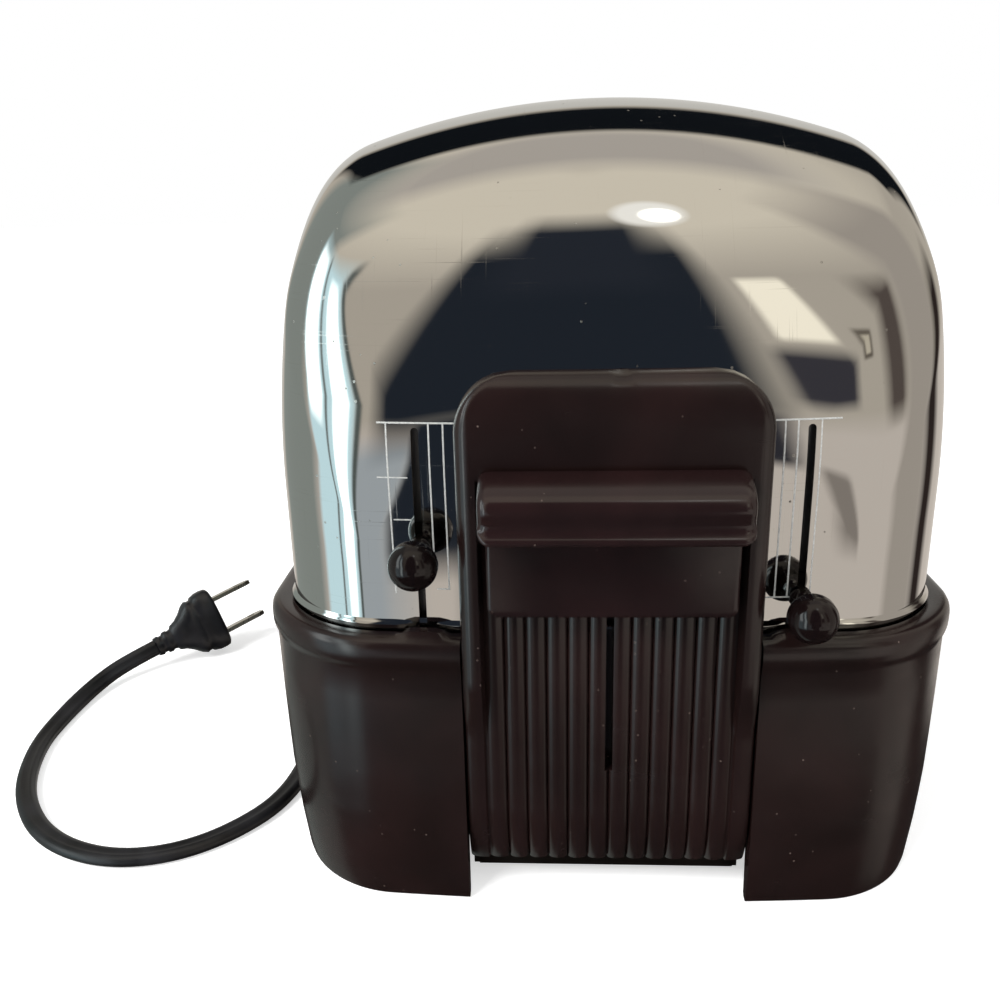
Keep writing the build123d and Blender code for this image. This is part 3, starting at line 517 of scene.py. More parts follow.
def archPoints(depth, inset):
    # outline of the dome at this depth from its nearer end, from the left foot over the crown
    corner = shellSet["corner"] - inset
    reach = shellSet["browDepth"] - inset
    local = max(depth - inset, 0.0)
    half = shellSet["width"] / 2 - inset - corner + corner * math.sqrt(1 - (1 - min(local / corner, 1)) ** 2)
    rise = math.sqrt(max(0.0, 1 - (1 - min(local / reach, 1)) ** 2))
    crown = shellSet["browHeight"] + (shellSet["crown"] - inset - shellSet["browHeight"]) * rise
    sideR, shoulderR, crownR, lean = [
        low + (high - low) * rise
        for low, high in (shellSet[k] for k in ("side", "shoulder", "crownArc", "lean"))
    ]
    sideC = Vector((half - sideR, lean))
    crownC = Vector((0.0, crown - crownR))
    between = crownC - sideC
    span = between.length
    step = between / span
    reachSide = sideR - shoulderR
    along = (reachSide ** 2 - (crownR - shoulderR) ** 2 + span ** 2) / (2 * span)
    out = math.sqrt(reachSide ** 2 - along ** 2)
    shoulderC = sideC + step * along + Vector((-step.y, step.x)) * out
    sideTurn = math.atan2(shoulderC.y - sideC.y, shoulderC.x - sideC.x)
    crownTurn = math.atan2(shoulderC.y - crownC.y, shoulderC.x - crownC.x)
    steps = shellSet["footSteps"]
    points = [(half, shellSet["bottom"] + (lean - shellSet["bottom"]) * i / steps) for i in range(steps)]
    turns = (0.0, sideTurn, crownTurn, math.pi / 2)
    for centre, radius, start, end, count in zip(
        (sideC, shoulderC, crownC), (sideR, shoulderR, crownR), turns, turns[1:], shellSet["arcSteps"],
    ):
        points += [
            (centre.x + radius * math.cos(angle), centre.y + radius * math.sin(angle))
            for angle in around(count, start, end - start)
        ]
    points.append((0.0, crown))
    return [(-x, z) for x, z in points[:-1]] + points[::-1]


def shellGrid(inset):
    # rows of points from one end over the dome to the other end
    brow = [shellSet["browDepth"] * (1 - math.cos(angle)) for angle in quarter(shellSet["browSteps"])]
    between = shellLength - 2 * shellSet["browDepth"]
    steps = shellSet["lengthSteps"]
    stations = brow + [brow[-1] + between * i / steps for i in range(1, steps)]
    stations += [shellLength - depth for depth in reversed(brow)]
    rows = []
    for depth in stations:
        near = min(depth, shellLength - depth)
        place = max(near, inset)
        bow = max(0.0, 1 - near / shellSet["browDepth"]) ** 1.5 / shellSet["bow"]
        sign = 1 if depth < shellLength / 2 else -1
        end = frontY if sign > 0 else frontY + shellLength
        rows.append([(x, end + sign * (place + x * x * bow), z) for x, z in archPoints(place, inset)])
    return rows


def endCap(row, sign, inset):
    # the flat middle of an end: the outline shrinks towards the middle of its foot
    origin = frontY + inset if sign > 0 else frontY + shellLength - inset
    bottom = shellSet["bottom"]
    rings = [row]
    for i in range(1, shellSet["capSteps"] + 1):
        share = 1 - i / shellSet["capSteps"]
        ring = []
        for x, y, z in row:
            newX = x * share
            newZ = bottom + (z - bottom) * (0.02 + 0.98 * share)
            ring.append((newX, origin + sign * newX * newX / shellSet["bow"], newZ))
        rings.append(ring)
    return rings


def shellSurface(inset):
    rows = shellGrid(inset)
    front = endCap(rows[0], 1, inset)
    back = endCap(rows[-1], -1, inset)
    return list(reversed(front))[:-1] + rows + back[1:]


outerRows = shellSurface(0.0)
innerRows = shellSurface(shellSet["wall"])
rowSize = len(outerRows[0])
outerVerts = [v for row in outerRows for v in row]
innerVerts = [v for row in innerRows for v in row]
outerFaces = bridgeRings(len(outerRows), rowSize, closed=False)
innerFaces = turnedOver(bridgeRings(len(innerRows), rowSize, closed=False, start=len(outerVerts)))
rimFaces = []
for ring in range(len(outerRows) - 1):
    for edge in (0, rowSize - 1):
        a = ring * rowSize + edge
        b = a + rowSize
        face = (a, b, b + len(outerVerts), a + len(outerVerts))
        rimFaces.append(face if edge == 0 else tuple(reversed(face)))
for ring in (0, len(outerRows) - 1):
    for i in range(rowSize - 1):
        a = ring * rowSize + i
        face = (a, a + 1, a + 1 + len(outerVerts), a + len(outerVerts))
        rimFaces.append(tuple(reversed(face)) if ring == 0 else face)


def roundedRect(halfX, halfY, corner, centre, perCorner=10):
    points = []
    for index, (sx, sy) in enumerate(((1, 1), (-1, 1), (-1, -1), (1, -1))):
        for bend in quarter(perCorner):
            angle = bend + math.pi / 2 * index
            points.append((centre[0] + sx * (halfX - corner) + corner * math.cos(angle),
                           centre[1] + sy * (halfY - corner) + corner * math.sin(angle)))
    return points


def cutter(outline, low, high, axis="Z"):
    # closed prism of an outline, along Z, or along Y for outlines in X and Z
    if axis == "Z":
        verts = [(x, y, low) for x, y in outline] + [(x, y, high) for x, y in outline]
    else:
        verts = [(x, high, z) for x, z in outline] + [(x, low, z) for x, z in outline]
    return intoScene("cutter", newMesh("cutter", verts, tube(2, len(outline))))


def carve(piece, cutters):
    # exact boolean difference, kept as the piece's own mesh
    for tool in cutters:
        boolean = piece.modifiers.new("cut", "BOOLEAN")
        boolean.operation = "DIFFERENCE"
        boolean.solver = "EXACT"
        boolean.object = tool
    result = settledMesh(piece)
    piece.modifiers.clear()
    old = piece.data
    piece.data = result
    bpy.data.meshes.remove(old)
    for tool in cutters:
        bpy.data.objects.remove(tool)


openingSet = dict(
    slotHalf=13.0, slotHalfLength=63.0, slotCorner=5.0, pitch=20.0, lipFoot=172.0,
    sliderX=41.4, sliderHalf=0.85, sliderLow=66.0, sliderHigh=114.75, stemHalf=1.5, stemLow=60, stemHigh=95,
)
shellFaces = outerFaces + innerFaces
chromeShell = addMesh("chromeDome", outerVerts + innerVerts, shellFaces + rimFaces, "case", chrome)
cutters = []
for side in (-1, 1):
    outline = roundedRect(openingSet["slotHalf"], openingSet["slotHalfLength"], openingSet["slotCorner"],
                          (side * openingSet["pitch"], middleY))
    cutters.append(cutter(outline, 150, 190))
    x = side * openingSet["sliderX"]
    radius = openingSet["sliderHalf"]
    slotOutline = [
        (x + radius * math.cos(start + bend), z + radius * math.sin(start + bend))
        for z, start in ((openingSet["sliderHigh"], 0), (openingSet["sliderLow"], math.pi))
        for bend in [math.pi * i / 10 for i in range(11)]
    ]
    cutters.append(cutter(slotOutline, frontY - 3, frontY + 12, "Y"))
low, high = openingSet["stemLow"], openingSet["stemHigh"]
stemSlit = [(side * openingSet["stemHalf"], z) for side, z in ((1, low), (1, high), (-1, high), (-1, low))]
cutters.append(cutter(stemSlit, frontY - 2, frontY + 3, "Y"))
carve(chromeShell, cutters)


def smoothFrom(piece, verts, faces):
    # the cut shell keeps the normals of the whole dome, so its reflections stay clean beside the cuts
    source = bpy.data.meshes.new("whole")
    source.from_pydata([[c * mm for c in v] for v in verts], [], faces)
    source.update()
    points = [v.co.copy() for v in source.vertices]
    normals = [v.normal.copy() for v in source.vertices]
    lists = [tuple(p.vertices) for p in source.polygons]
    tree = BVHTree.FromPolygons(points, lists)
    mesh = piece.data
    loopNormals = [None] * len(mesh.loops)
    for face in mesh.polygons:
        face.use_smooth = True
        for loop in face.loop_indices:
            where = mesh.vertices[mesh.loops[loop].vertex_index].co
            near, flat, index, far = tree.find_nearest(where)
            smooth = None
            if near is not None and far < 0.03 * mm:
                corners = lists[index]
                weights = poly_3d_calc([points[c] for c in corners], near)
                smooth = sum((normals[c] * w for c, w in zip(corners, weights)), Vector()).normalized()
            if smooth is None or smooth.dot(face.normal) < 0.8:
                smooth = face.normal
            loopNormals[loop] = smooth
    mesh.normals_split_custom_set(loopNormals)
    bpy.data.meshes.remove(source)


smoothFrom(chromeShell, outerVerts + innerVerts, shellFaces)
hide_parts("chrome_shell")
skin = BVHTree.FromPolygons([Vector(v) for v in outerVerts], outerFaces)


def skinHeight(x, y):
    return skin.ray_cast(Vector((x, y, 250)), Vector((0, 0, -1)))[0].z


lipProfile = [  # out from the slot's edge, drop from the crown; None goes down to the lip's foot
    (1.4, -0.12), (0.9, -0.06), (0.45, -0.15), (0.12, -0.5), (0.0, -1.1), (0.0, None), (0.9, None),
    (0.9, -1.6),
]


def slotLip(side, name):
    # the folded lip of a bread slot: it rolls over from the crown and drops inside
    rings = []
    for outset, drop in lipProfile:
        outline = roundedRect(openingSet["slotHalf"] + outset, openingSet["slotHalfLength"] + outset,
                              openingSet["slotCorner"] + outset, (side * openingSet["pitch"], middleY), 14)
        rings.append([(x, y, openingSet["lipFoot"] if drop is None else skinHeight(x, y) + drop)
                      for x, y in outline])
    verts = [v for ring in rings for v in ring]
    faces = turnedOver(bridgeRings(len(rings), len(rings[0])))
    lip = addMesh(name, verts, faces, "case", chrome)
    sharpen(lip, 60)


slotLip(-1, "slotLipLeft")
slotLip(1, "slotLipRight")

beadProfile = [  # out from the shell, height
    (-0.3, 71.9), (0.0, 71.6), (0.06, 71.5), (0.42, 71.1), (0.78, 70.7), (0.84, 70.55), (0.8, 70.4),
    (-0.3, 70.3),
]


def footBead():
    # the shell's edge turns out a little just above the base, and stops either side of each slider slot
    plan = [row[0] for row in outerRows] + [row[-1] for row in reversed(outerRows)]
    plan = [Vector((x, y)) for x, y, z in plan]
    plan = [p for i, p in enumerate(plan) if (p - plan[i - 1]).length > 0.02]
    verts = []
    for i, p in enumerate(plan):
        run = (plan[(i + 1) % len(plan)] - plan[i - 1]).normalized()
        out = Vector((-run.y, run.x))
        if out.dot(p - Vector((0, middleY))) < 0:
            out = -out
        nearSlot = p.y < frontY + 9 and abs(abs(p.x) - openingSet["sliderX"]) < 5.2
        for reach, z in beadProfile:
            place = p + out * (min(reach, -0.1) if nearSlot else reach)
            verts.append((place.x, place.y, z))
    size = len(beadProfile)
    faces = bridgeRings(len(plan), size)
    last = (len(plan) - 1) * size
    faces += [(last + i, last + (i + 1) % size, (i + 1) % size, i) for i in range(size)]
    bead = addMesh("shellFootBead", verts, faces, "case", chrome)
    sharpen(bead, 28)


footBead()
print("chrome shell made, faces:", len(chromeShell.data.polygons))


# Etched scale lines on the chrome
scaleSet = dict(proud=0.05, sunk=-0.02, line=0.42, thin=0.336, step=1.5)


def onSkin(x, z, proud):
    place, normal, index, far = skin.ray_cast(Vector((x, frontY - 60, z)), Vector((0, 1, 0)))
    if normal.y > 0:
        normal = -normal
    return place + normal * proud


def etched(strokes, name):
    verts = []
    faces = []
    section = [(-1, scaleSet["sunk"]), (-0.7, scaleSet["proud"]), (0.7, scaleSet["proud"]),
               (1, scaleSet["sunk"])]
    for x0, z0, x1, z1, wide in strokes:
        run = Vector((x1 - x0, z1 - z0))
        side = Vector((-run.y, run.x)).normalized() * wide / 2
        count = max(2, int(run.length / scaleSet["step"]))
        first = len(verts)
        for i in range(count + 1):
            x = x0 + run.x * i / count
            z = z0 + run.y * i / count
            verts += [onSkin(x + side.x * reach, z + side.y * reach, proud) for reach, proud in section]
        faces += bridgeRings(count + 1, len(section), closed=False, start=first)
        faces.append((first, first + 1, first + 2, first + 3))
        last = first + count * len(section)
        faces.append((last + 3, last + 2, last + 1, last))
    addMesh(name, verts, faces, "case", frosting, smooth=False)


line, thin = scaleSet["line"], scaleSet["thin"]
etched([
    (-49.6, 116.6, -32.9, 116.6, line), (-47.6, 116.6, -47.2, 78.0, line),
    (-38.4, 116.6, -38.3, 88.0, line), (-35.3, 116.6, -35.2, 79.0, line),
    (-50.0, 104.8, -43.3, 104.8, thin), (-46.8, 95.3, -43.0, 95.3, thin), (-37.9, 79.2, -35.2, 79.2, thin),
], "browningScale")
etched([
    (33.0, 116.6, 47.6, 116.6, line), (35.8, 116.6, 35.7, 77.2, line), (38.5, 116.6, 38.4, 77.2, line),
    (43.4, 116.6, 43.3, 78.0, thin), (33.6, 77.2, 39.8, 77.2, line),
], "modeScale")
print("scales made")


# Bakelite base
baseSet = dict(
    halfX=82.2, halfY=126.6, corner=30.2, gapHalf=32.8, bow=1440.0, frontFlare=4.2, tab=1.5, tabHeight=67.8,
    tabFrom=19, tabHalf=(4.3, 5.6), endSteps=10, sideSteps=20, cornerSteps=26,
)
baseProfile = [  # inset from the rim's widest line, height: up the outside, over the bead and down inside
    (5.6, 0.0), (5.0, 0.35), (4.55, 2.0), (4.0, 6.0), (3.2, 12.0), (2.5, 19.0), (1.9, 26.0), (1.5, 35.0),
    (1.15, 45.0), (0.98, 54.0), (0.9, 61.2), (0.7, 62.2), (0.3, 62.9), (0.06, 63.8), (0.0, 65.0),
    (0.0, 66.4), (0.18, 67.4), (0.7, 68.3), (1.5, 68.85), (2.4, 69.0), (4.6, 69.0), (5.4, 68.9),
    (5.6, 68.5), (5.6, 64.1), (7.8, 64.0), (7.8, 40.0), (7.8, 14.0), (7.8, 1.0), (7.4, 0.2), (6.8, 0.0),
]


def bowAt(x, y):
    # the two ends are slightly bowed, so they draw back towards the corners
    pull = x * x / baseSet["bow"] * ease(abs(y), baseSet["halfY"] - 60, baseSet["halfY"])
    return pull if y < 0 else -pull


def basePlan(inset):
    # from the right edge of the front gap round the back to its left edge
    halfX = baseSet["halfX"] - inset
    halfY = baseSet["halfY"] - inset
    corner = baseSet["corner"] - inset
    gap = baseSet["gapHalf"]
    innerX, innerY = halfX - corner, halfY - corner
    points = []

    def run(x0, y0, x1, y1, count):
        points.extend((x0 + (x1 - x0) * i / count, y0 + (y1 - y0) * i / count) for i in range(count))

    def bend(cx, cy, start):
        for angle in around(baseSet["cornerSteps"], math.radians(start), math.pi / 2):
            points.append((cx + corner * math.cos(angle), cy + corner * math.sin(angle)))

    run(gap, -halfY, innerX, -halfY, baseSet["endSteps"])
    bend(innerX, -innerY, -90)
    run(halfX, -innerY, halfX, innerY, baseSet["sideSteps"])
    bend(innerX, innerY, 0)
    run(innerX, halfY, -innerX, halfY, baseSet["sideSteps"])
    bend(-innerX, innerY, 90)
    run(-halfX, innerY, -halfX, -innerY, baseSet["sideSteps"])
    bend(-innerX, -innerY, 180)
    run(-innerX, -halfY, -gap, -halfY, baseSet["endSteps"])
    points.append((-gap, -halfY))
    return [(x, middleY + y + bowAt(x, y)) for x, y in points]


baseRings = [[(x, y, z) for x, y in basePlan(inset)] for inset, z in baseProfile]
ringSize = len(baseRings[0])
profileSize = len(baseRings)
# transpose, so that each ring is the wall's cross-section and the ends can be capped
baseVerts = [baseRings[j][i] for i in range(ringSize) for j in range(profileSize)]
for i, (x, y, z) in enumerate(baseVerts):
    if y < middleY:  # the front stands more upright than the sides
        front = ease(middleY - y, baseSet["halfY"] - 70, baseSet["halfY"] - 14)
        y -= baseSet["frontFlare"] * front * (1 - ease(z, -30, 62))
        baseVerts[i] = (x, y, z)
    if y < frontY - 0.2 and z > baseSet["tabHeight"] and i % profileSize >= baseSet["tabFrom"]:
        # raised tab below each slider slot
        share = 1 - ease(abs(abs(x) - openingSet["sliderX"]), *baseSet["tabHalf"])
        baseVerts[i] = (x, y, z + baseSet["tab"] * share)
baseFaces = turnedOver(tube(ringSize, profileSize))
baseShell = addMesh("bakeliteBase", baseVerts, baseFaces, "case", bakelite)
sharpen(baseShell, 40)
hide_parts("base_housing")
print("base made")


# Front panel: hood, channel, ribs and the curl at its foot
panelSet = dict(
    half=32.5, bottom=9.6, top=128.0, proud=8.0, corner=12.0, edge=3.2, hoodEdge=11.0, hoodFall=6.4,
    leastProud=0.9,
    channel=27.8, channelEdge=0.35, hood=106.0, ribs=12, pitch=4.63, ribHeight=1.4, ribFront=4.6,
    ribRound=2.1,
    curlStart=26.0, curlReach=4.1, slotHalf=0.8, slotBottom=36.5, slotTop=95.0, ribSteps=14,
)
chipSet = dict(middle=1.9, half=2.6, deep=1.7, slope=1.2)


def ribProfile(x):
    # round-topped ribs with narrow valleys between them
    inPitch = (x / panelSet["pitch"]) % 1.0
    fromValley = min(inPitch, 1 - inPitch) * panelSet["pitch"]
    rise = min(fromValley / panelSet["ribRound"], 1.0)
    return panelSet["ribHeight"] * math.sqrt(max(0.0, 1 - (1 - rise) ** 2))


def panelHalf(z):
    over = z - (panelSet["top"] - panelSet["corner"])
    if over <= 0:
        return panelSet["half"]
    return panelSet["half"] - panelSet["corner"] + math.sqrt(max(0.0, panelSet["corner"] ** 2 - over ** 2))


def rounding(distance, radius, depth):
    if distance >= radius:
        return 0.0
    return depth * (1 - math.sqrt(max(0.0, 1 - (1 - max(distance, 0.0) / radius) ** 2)))


def chipDepth(x, z):
    # a small chip broken out of the hood's top edge
    across = (x - chipSet["middle"]) / chipSet["half"]
    if abs(across) >= 1:
        return 0.0
    return max(0.0, chipSet["deep"] * (1 - across ** 2) - (panelSet["top"] - z)) * chipSet["slope"]


def panelFront(x, z):
    # how far the face stands ahead of the chrome, in mm
    fade = ease(z, 45.0, 60.0)
    ribFront = panelSet["ribFront"]
    cheek = ribFront + (panelSet["proud"] - ribFront) * fade
    edge = panelSet["edge"]
    side = rounding(panelHalf(z) - abs(x), edge, edge) * (0.35 + 0.65 * fade)
    crown = rounding(panelSet["top"] - z, panelSet["hoodEdge"], panelSet["hoodFall"])
    cheek -= min(math.hypot(side, crown), panelSet["proud"] - panelSet["leastProud"])
    channel = ribFront - panelSet["ribHeight"] + ribProfile(x)
    soft = panelSet["channelEdge"]
    inChannel = 1 - ease(abs(x), panelSet["channel"] - soft, panelSet["channel"] + soft)
    underHood = 1 - ease(z, panelSet["hood"] - 0.5, panelSet["hood"] + 0.7)
    front = cheek + (min(channel, cheek) - cheek) * inChannel * underHood
    if z < panelSet["curlStart"]:
        drop = panelSet["curlStart"] - panelSet["bottom"]
        radius = (panelSet["curlReach"] ** 2 + drop ** 2) / (2 * panelSet["curlReach"])
        front -= radius - math.sqrt(radius ** 2 - (panelSet["curlStart"] - z) ** 2)
    inSlot = abs(x) < panelSet["slotHalf"] + 0.001 and panelSet["slotBottom"] < z < panelSet["slotTop"]
    return (-0.6 if inSlot else front) - chipDepth(x, z)


def gridLines(marks, step):
    lines = [marks[0]]
    for a, b in zip(marks, marks[1:]):
        count = max(1, round((b - a) / step))
        lines += [a + (b - a) * i / count for i in range(1, count + 1)]
    return lines


half = panelSet["half"]
slotHalf, channel, soft = panelSet["slotHalf"], panelSet["channel"], panelSet["channelEdge"]
ribColumns = [
    panelSet["pitch"] * (rib + 0.5 - 0.5 * math.cos(math.pi * i / panelSet["ribSteps"]))
    for rib in range(panelSet["ribs"] // 2) for i in range(panelSet["ribSteps"])
]  # they crowd towards the valleys
xRight = [0.0, slotHalf / 2, slotHalf, slotHalf + 0.05]
xRight += [x for x in ribColumns if 1.0 < x < channel - 0.45]
xRight += gridLines([channel - soft, channel + soft, half - 0.6, half], 0.36)
xLines = [-x for x in reversed(xRight[1:])] + xRight
slotEnd = panelSet["slotBottom"]
slotTop, top = panelSet["slotTop"], panelSet["top"]
zMarks = [
    panelSet["bottom"], panelSet["curlStart"], slotEnd, slotEnd + 0.05, 44.0, 61.0, slotTop, slotTop + 0.05,
    105.4, 106.8, 112.0, top - 0.6, top,
]
zLines = gridLines(zMarks, 1.1)
panelVerts = []
for z in zLines:
    shrink = panelHalf(z) / half
    for x in xLines:
        above = ease(z, 112, 116)
        newX = x * (1 - above) + x * shrink * above
        panelVerts.append((newX, frontY - panelFront(newX, z), z))
columns = len(xLines)
panelFaces = bridgeRings(len(zLines), columns, closed=False)
frontCount = len(panelVerts)
rows = len(zLines)
edgeLoop = list(range(columns))
edgeLoop += [row * columns + columns - 1 for row in range(1, rows)]
edgeLoop += [(rows - 1) * columns + i for i in range(columns - 2, -1, -1)]
edgeLoop += [row * columns for row in range(rows - 2, 0, -1)]
for index in edgeLoop:
    x, y, z = panelVerts[index]
    panelVerts.append((x, frontY + (bowAt(x, -baseSet["halfY"]) if z > 64 else 1.5), z))
loopSize = len(edgeLoop)
for i in range(loopSize):
    j = (i + 1) % loopSize
    panelFaces.append((edgeLoop[i], frontCount + i, frontCount + j, edgeLoop[j]))
panelFaces.append(tuple(frontCount + i for i in range(loopSize)))
ribbedPanel = addMesh("ribbedFront", panelVerts, panelFaces, "case", bakelite)
sharpen(ribbedPanel, 50)
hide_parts("front_panel")
print("front panel made")


# Lever handle
leverSet = dict(
    half=27.2, middle=(12.5, 102.6), round=2.6, roundSteps=10, barSteps=24, sag=0.15, ends=(8.5, 6.8, 14.0),
    apronHalf=26.3, apronTop=98.0, apronBottom=77.0, apronFront=10.0, back=5.4, apronCorner=2.2,
    apronEdge=1.1,
)
leverProfile = [  # reach ahead of the chrome, height: from the back over the top, down the hollow front
    (5.4, 97.2), (5.4, 104.5), (8.8, 104.6), (8.8, 108.9), (9.4, 109.4), (11.2, 109.0), (13.6, 108.2),
    (15.6, 107.4), (17.3, 106.5), (18.5, 105.4), (19.1, 104.1), (19.05, 102.9), (18.75, 101.7),
    (18.5, 100.5), (18.65, 99.4), (19.2, 98.6), (19.7, 98.1), (19.95, 97.5), (19.75, 96.9), (19.0, 96.6),
    (14.0, 96.8), (8.0, 97.0),
]


def smoothLoop(points, times=2):
    # corner cutting rounds the profile without moving it much
    for _ in range(times):
        fresh = []
        for (x0, z0), (x1, z1) in zip(points, points[1:] + points[:1]):
            fresh.append((x0 * 0.75 + x1 * 0.25, z0 * 0.75 + z1 * 0.25))
            fresh.append((x0 * 0.25 + x1 * 0.75, z0 * 0.25 + z1 * 0.75))
        points = fresh
    return points


def leverBar():
    loop = smoothLoop(leverProfile, 3)
    reach, half, steps = leverSet["round"], leverSet["half"], leverSet["barSteps"]
    left = [(-half + reach * (1 - math.cos(bend)), reach * (1 - math.sin(bend)))
            for bend in quarter(leverSet["roundSteps"])]
    between = [((half - reach) * (2 * i / steps - 1), 0.0) for i in range(1, steps)]
    rows = left + between + [(-x, inset) for x, inset in reversed(left)]
    middleReach, middleZ = leverSet["middle"]
    flatter, lower, upper = leverSet["ends"]
    verts = []
    for x, inset in rows:
        sag = leverSet["sag"] * (x / half) ** 2
        for ahead, z in loop:
            shareY = 1 - inset / flatter
            shareZ = 1 - inset / (lower if z < middleZ else upper)  # the upper corners stay squarer
            y = frontY - (middleReach + (ahead - middleReach) * shareY) + sag
            verts.append((x, y, middleZ + (z - middleZ) * shareZ))
    return verts, tube(len(rows), len(loop))


def leverApron(count=16):
    # a plate with rounded lower corners and rounded front edges, square at the top
    halfX, low, high = leverSet["apronHalf"], leverSet["apronBottom"], leverSet["apronTop"]
    corner, edge = leverSet["apronCorner"], leverSet["apronEdge"]
    front = leverSet["apronFront"] - edge
    steps = [(leverSet["back"], 0.0)]
    steps += [(front + edge * math.sin(bend), edge * (1 - math.cos(bend))) for bend in quarter(6)]
    verts = []
    for reach, inset in steps:
        r = corner - inset
        outline = [
            (halfX - corner + r * math.cos(bend), low + corner - r * math.sin(bend))
            for bend in quarter(count)
        ]
        outline += [(-x, z) for x, z in reversed(outline)]
        outline += [(-halfX + inset, high), (halfX - inset, high)]
        verts += [(x, frontY - reach, z) for x, z in outline]
    return verts, tube(len(steps), len(outline))


barVerts, barFaces = leverBar()
apronVerts, apronFaces = leverApron()
apronFaces = [tuple(i + len(barVerts) for i in face) for face in apronFaces]
handle = addMesh("leverHandle", barVerts + apronVerts, barFaces + apronFaces, "lift",
                 leverBakelite)
sharpen(handle, 42)
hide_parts("lever_handle")
print("lever made")


# Lift springs: they stand on the base plate
springSet = dict(radius=3.6, wire=0.45, turns=7, stepsPerTurn=28, sides=10, travel=48.0)


def liftSpring(name, node):
    low, high = [Vector(corner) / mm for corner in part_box(node)]
    centre = (low + high) / 2
    wire, size = springSet["wire"], springSet["sides"]
    steps = springSet["turns"] * springSet["stepsPerTurn"]
    verts = []
    for i in range(steps + 1):
        angle = 2 * math.pi * i / springSet["stepsPerTurn"]
        outward = Vector((math.cos(angle), math.sin(angle), 0))
        middle = Vector((centre.x, centre.y, low.z + wire + (high.z - low.z - 2 * wire) * i / steps))
        for bend in around(size):
            reach = springSet["radius"] + wire * math.cos(bend)
            verts.append(middle + outward * reach + Vector((0, 0, wire * math.sin(bend))))
    spring = addMesh(name, verts, tube(steps + 1, size), "case", platedSteel)
    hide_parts(node)
    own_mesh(spring)


liftSpring("liftSpringLeft", "lift_spring_left")
liftSpring("liftSpringRight", "lift_spring_right")
print("springs made")


# Ball knobs
knobSet = dict(
    ball=5.3, swell=0.04, squeeze=0.995, reach=10.9, neck=1.9, sides=48, steps=36,
    seams={17: 0.06, 18: 0.1, 19: 0.06}, setBack=1.19, cutBehind=4.6,
)


def ballKnob(name, x, z, body, node):
    profile = []  # reach ahead of the chrome, radius
    for i in range(knobSet["steps"] + 1):  # the seams are the moulding line round the ball
        angle = math.pi * i / knobSet["steps"]
        ball = knobSet["ball"] + knobSet["swell"] - knobSet["seams"].get(i, 0.0)
        reach = knobSet["reach"] + knobSet["ball"] * math.cos(angle)
        profile.append((reach, max(0.02, ball * math.sin(angle) * knobSet["squeeze"])))
    profile = [p for p in profile if p[0] > knobSet["reach"] - knobSet["cutBehind"]]
    neck = knobSet["neck"]
    profile += [(6.1, 2.6), (5.7, 2.15), (5.2, neck), (2.0, neck), (1.2, 2.3), (0.9, 2.5), (0.45, 2.5),
                (0.4, 0.02)]
    verts = []
    for reach, radius in profile:
        y = frontY + knobSet["setBack"] - reach
        verts += [(x + radius * math.cos(a), y, z + radius * math.sin(a)) for a in around(knobSet["sides"])]
    faces = turnedOver(tube(len(profile), knobSet["sides"]))
    knob = addMesh(name, verts, faces, body, knobBakelite)
    sharpen(knob, 50)
    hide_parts(node)


ballKnob("browningBall", -openingSet["sliderX"], 89.0, "browning", "browning_knob")
ballKnob("modeBall", openingSet["sliderX"], 77.0, "mode", "mode_knob")
print("knobs made")


# Studio: a pale floor, two soft boxes and a plain room for the chrome to mirror
studioSet = dict(floor="#F2F2F1", floorHalf=4, floorGlow=0.55, key=30.8, fill=8.0, world=0.55, mirror=1.45)
reach = studioSet["floorHalf"]
floorCorners = [(-reach, -reach, 0), (reach, -reach, 0), (reach, reach, 0), (-reach, reach, 0)]
floor = intoScene("floor", newMesh("floor", floorCorners, [(0, 1, 2, 3)], 1))
floor.visible_glossy = False
paint = bpy.data.materials.new("paleFloor")
paint.use_nodes = True
tree = paint.node_tree
shader = tree.nodes["Principled BSDF"]
shader.inputs["Base Color"].default_value = toLinear(studioSet["floor"])
shader.inputs["Roughness"].default_value = 0.9
shader.inputs["Specular IOR Level"].default_value = 0.1
shader.inputs["Emission Color"].default_value = (1, 1, 1, 1)
seen = addNode(tree, "ShaderNodeLightPath", out="Is Camera Ray")
glow = addNode(tree, "ShaderNodeMath", {"operation": "MULTIPLY", 1: studioSet["floorGlow"]}, {0: seen})
tree.links.new(glow, shader.inputs["Emission Strength"])
floor.data.materials.append(paint)


def addLight(name, place, size, power, aim=(0, 0, 0.08)):
    lamp = bpy.data.lights.new(name, "AREA")
    lamp.size = size
    lamp.energy = power
    holder = intoScene(name, lamp)
    holder.location = place
    holder.rotation_euler = (Vector(aim) - Vector(place)).to_track_quat("-Z", "Y").to_euler()
    holder.visible_glossy = False


addLight("keyLight", (-0.9, -0.9, 1.3), 0.8, studioSet["key"])
addLight("fillLight", (1.3, -0.6, 0.9), 1.0, studioSet["fill"])

world = bpy.data.worlds.new("studioWorld")
bpy.context.scene.world = world
world.use_nodes = True
sky = world.node_tree
direction = addNode(sky, "ShaderNodeTexCoord", out="Generated")
axes = addNode(sky, "ShaderNodeSeparateXYZ", None, {0: direction}, None).outputs
towards = addNode(sky, "ShaderNodeMath", {"operation": "MULTIPLY", 1: -1.0}, {0: axes[1]})
bearing = addNode(sky, "ShaderNodeMath", {"operation": "ARCTAN2"}, {0: axes[0], 1: towards})
bearing = addNode(sky, "ShaderNodeMath", {"operation": "DEGREES"}, {0: bearing})
height = addNode(sky, "ShaderNodeMath", {"operation": "ARCSINE"}, {0: axes[2]})
height = addNode(sky, "ShaderNodeMath", {"operation": "DEGREES"}, {0: height})
leaning = addNode(sky, "ShaderNodeMapRange", limits(8, 68, 0, 30), {"Value": height})
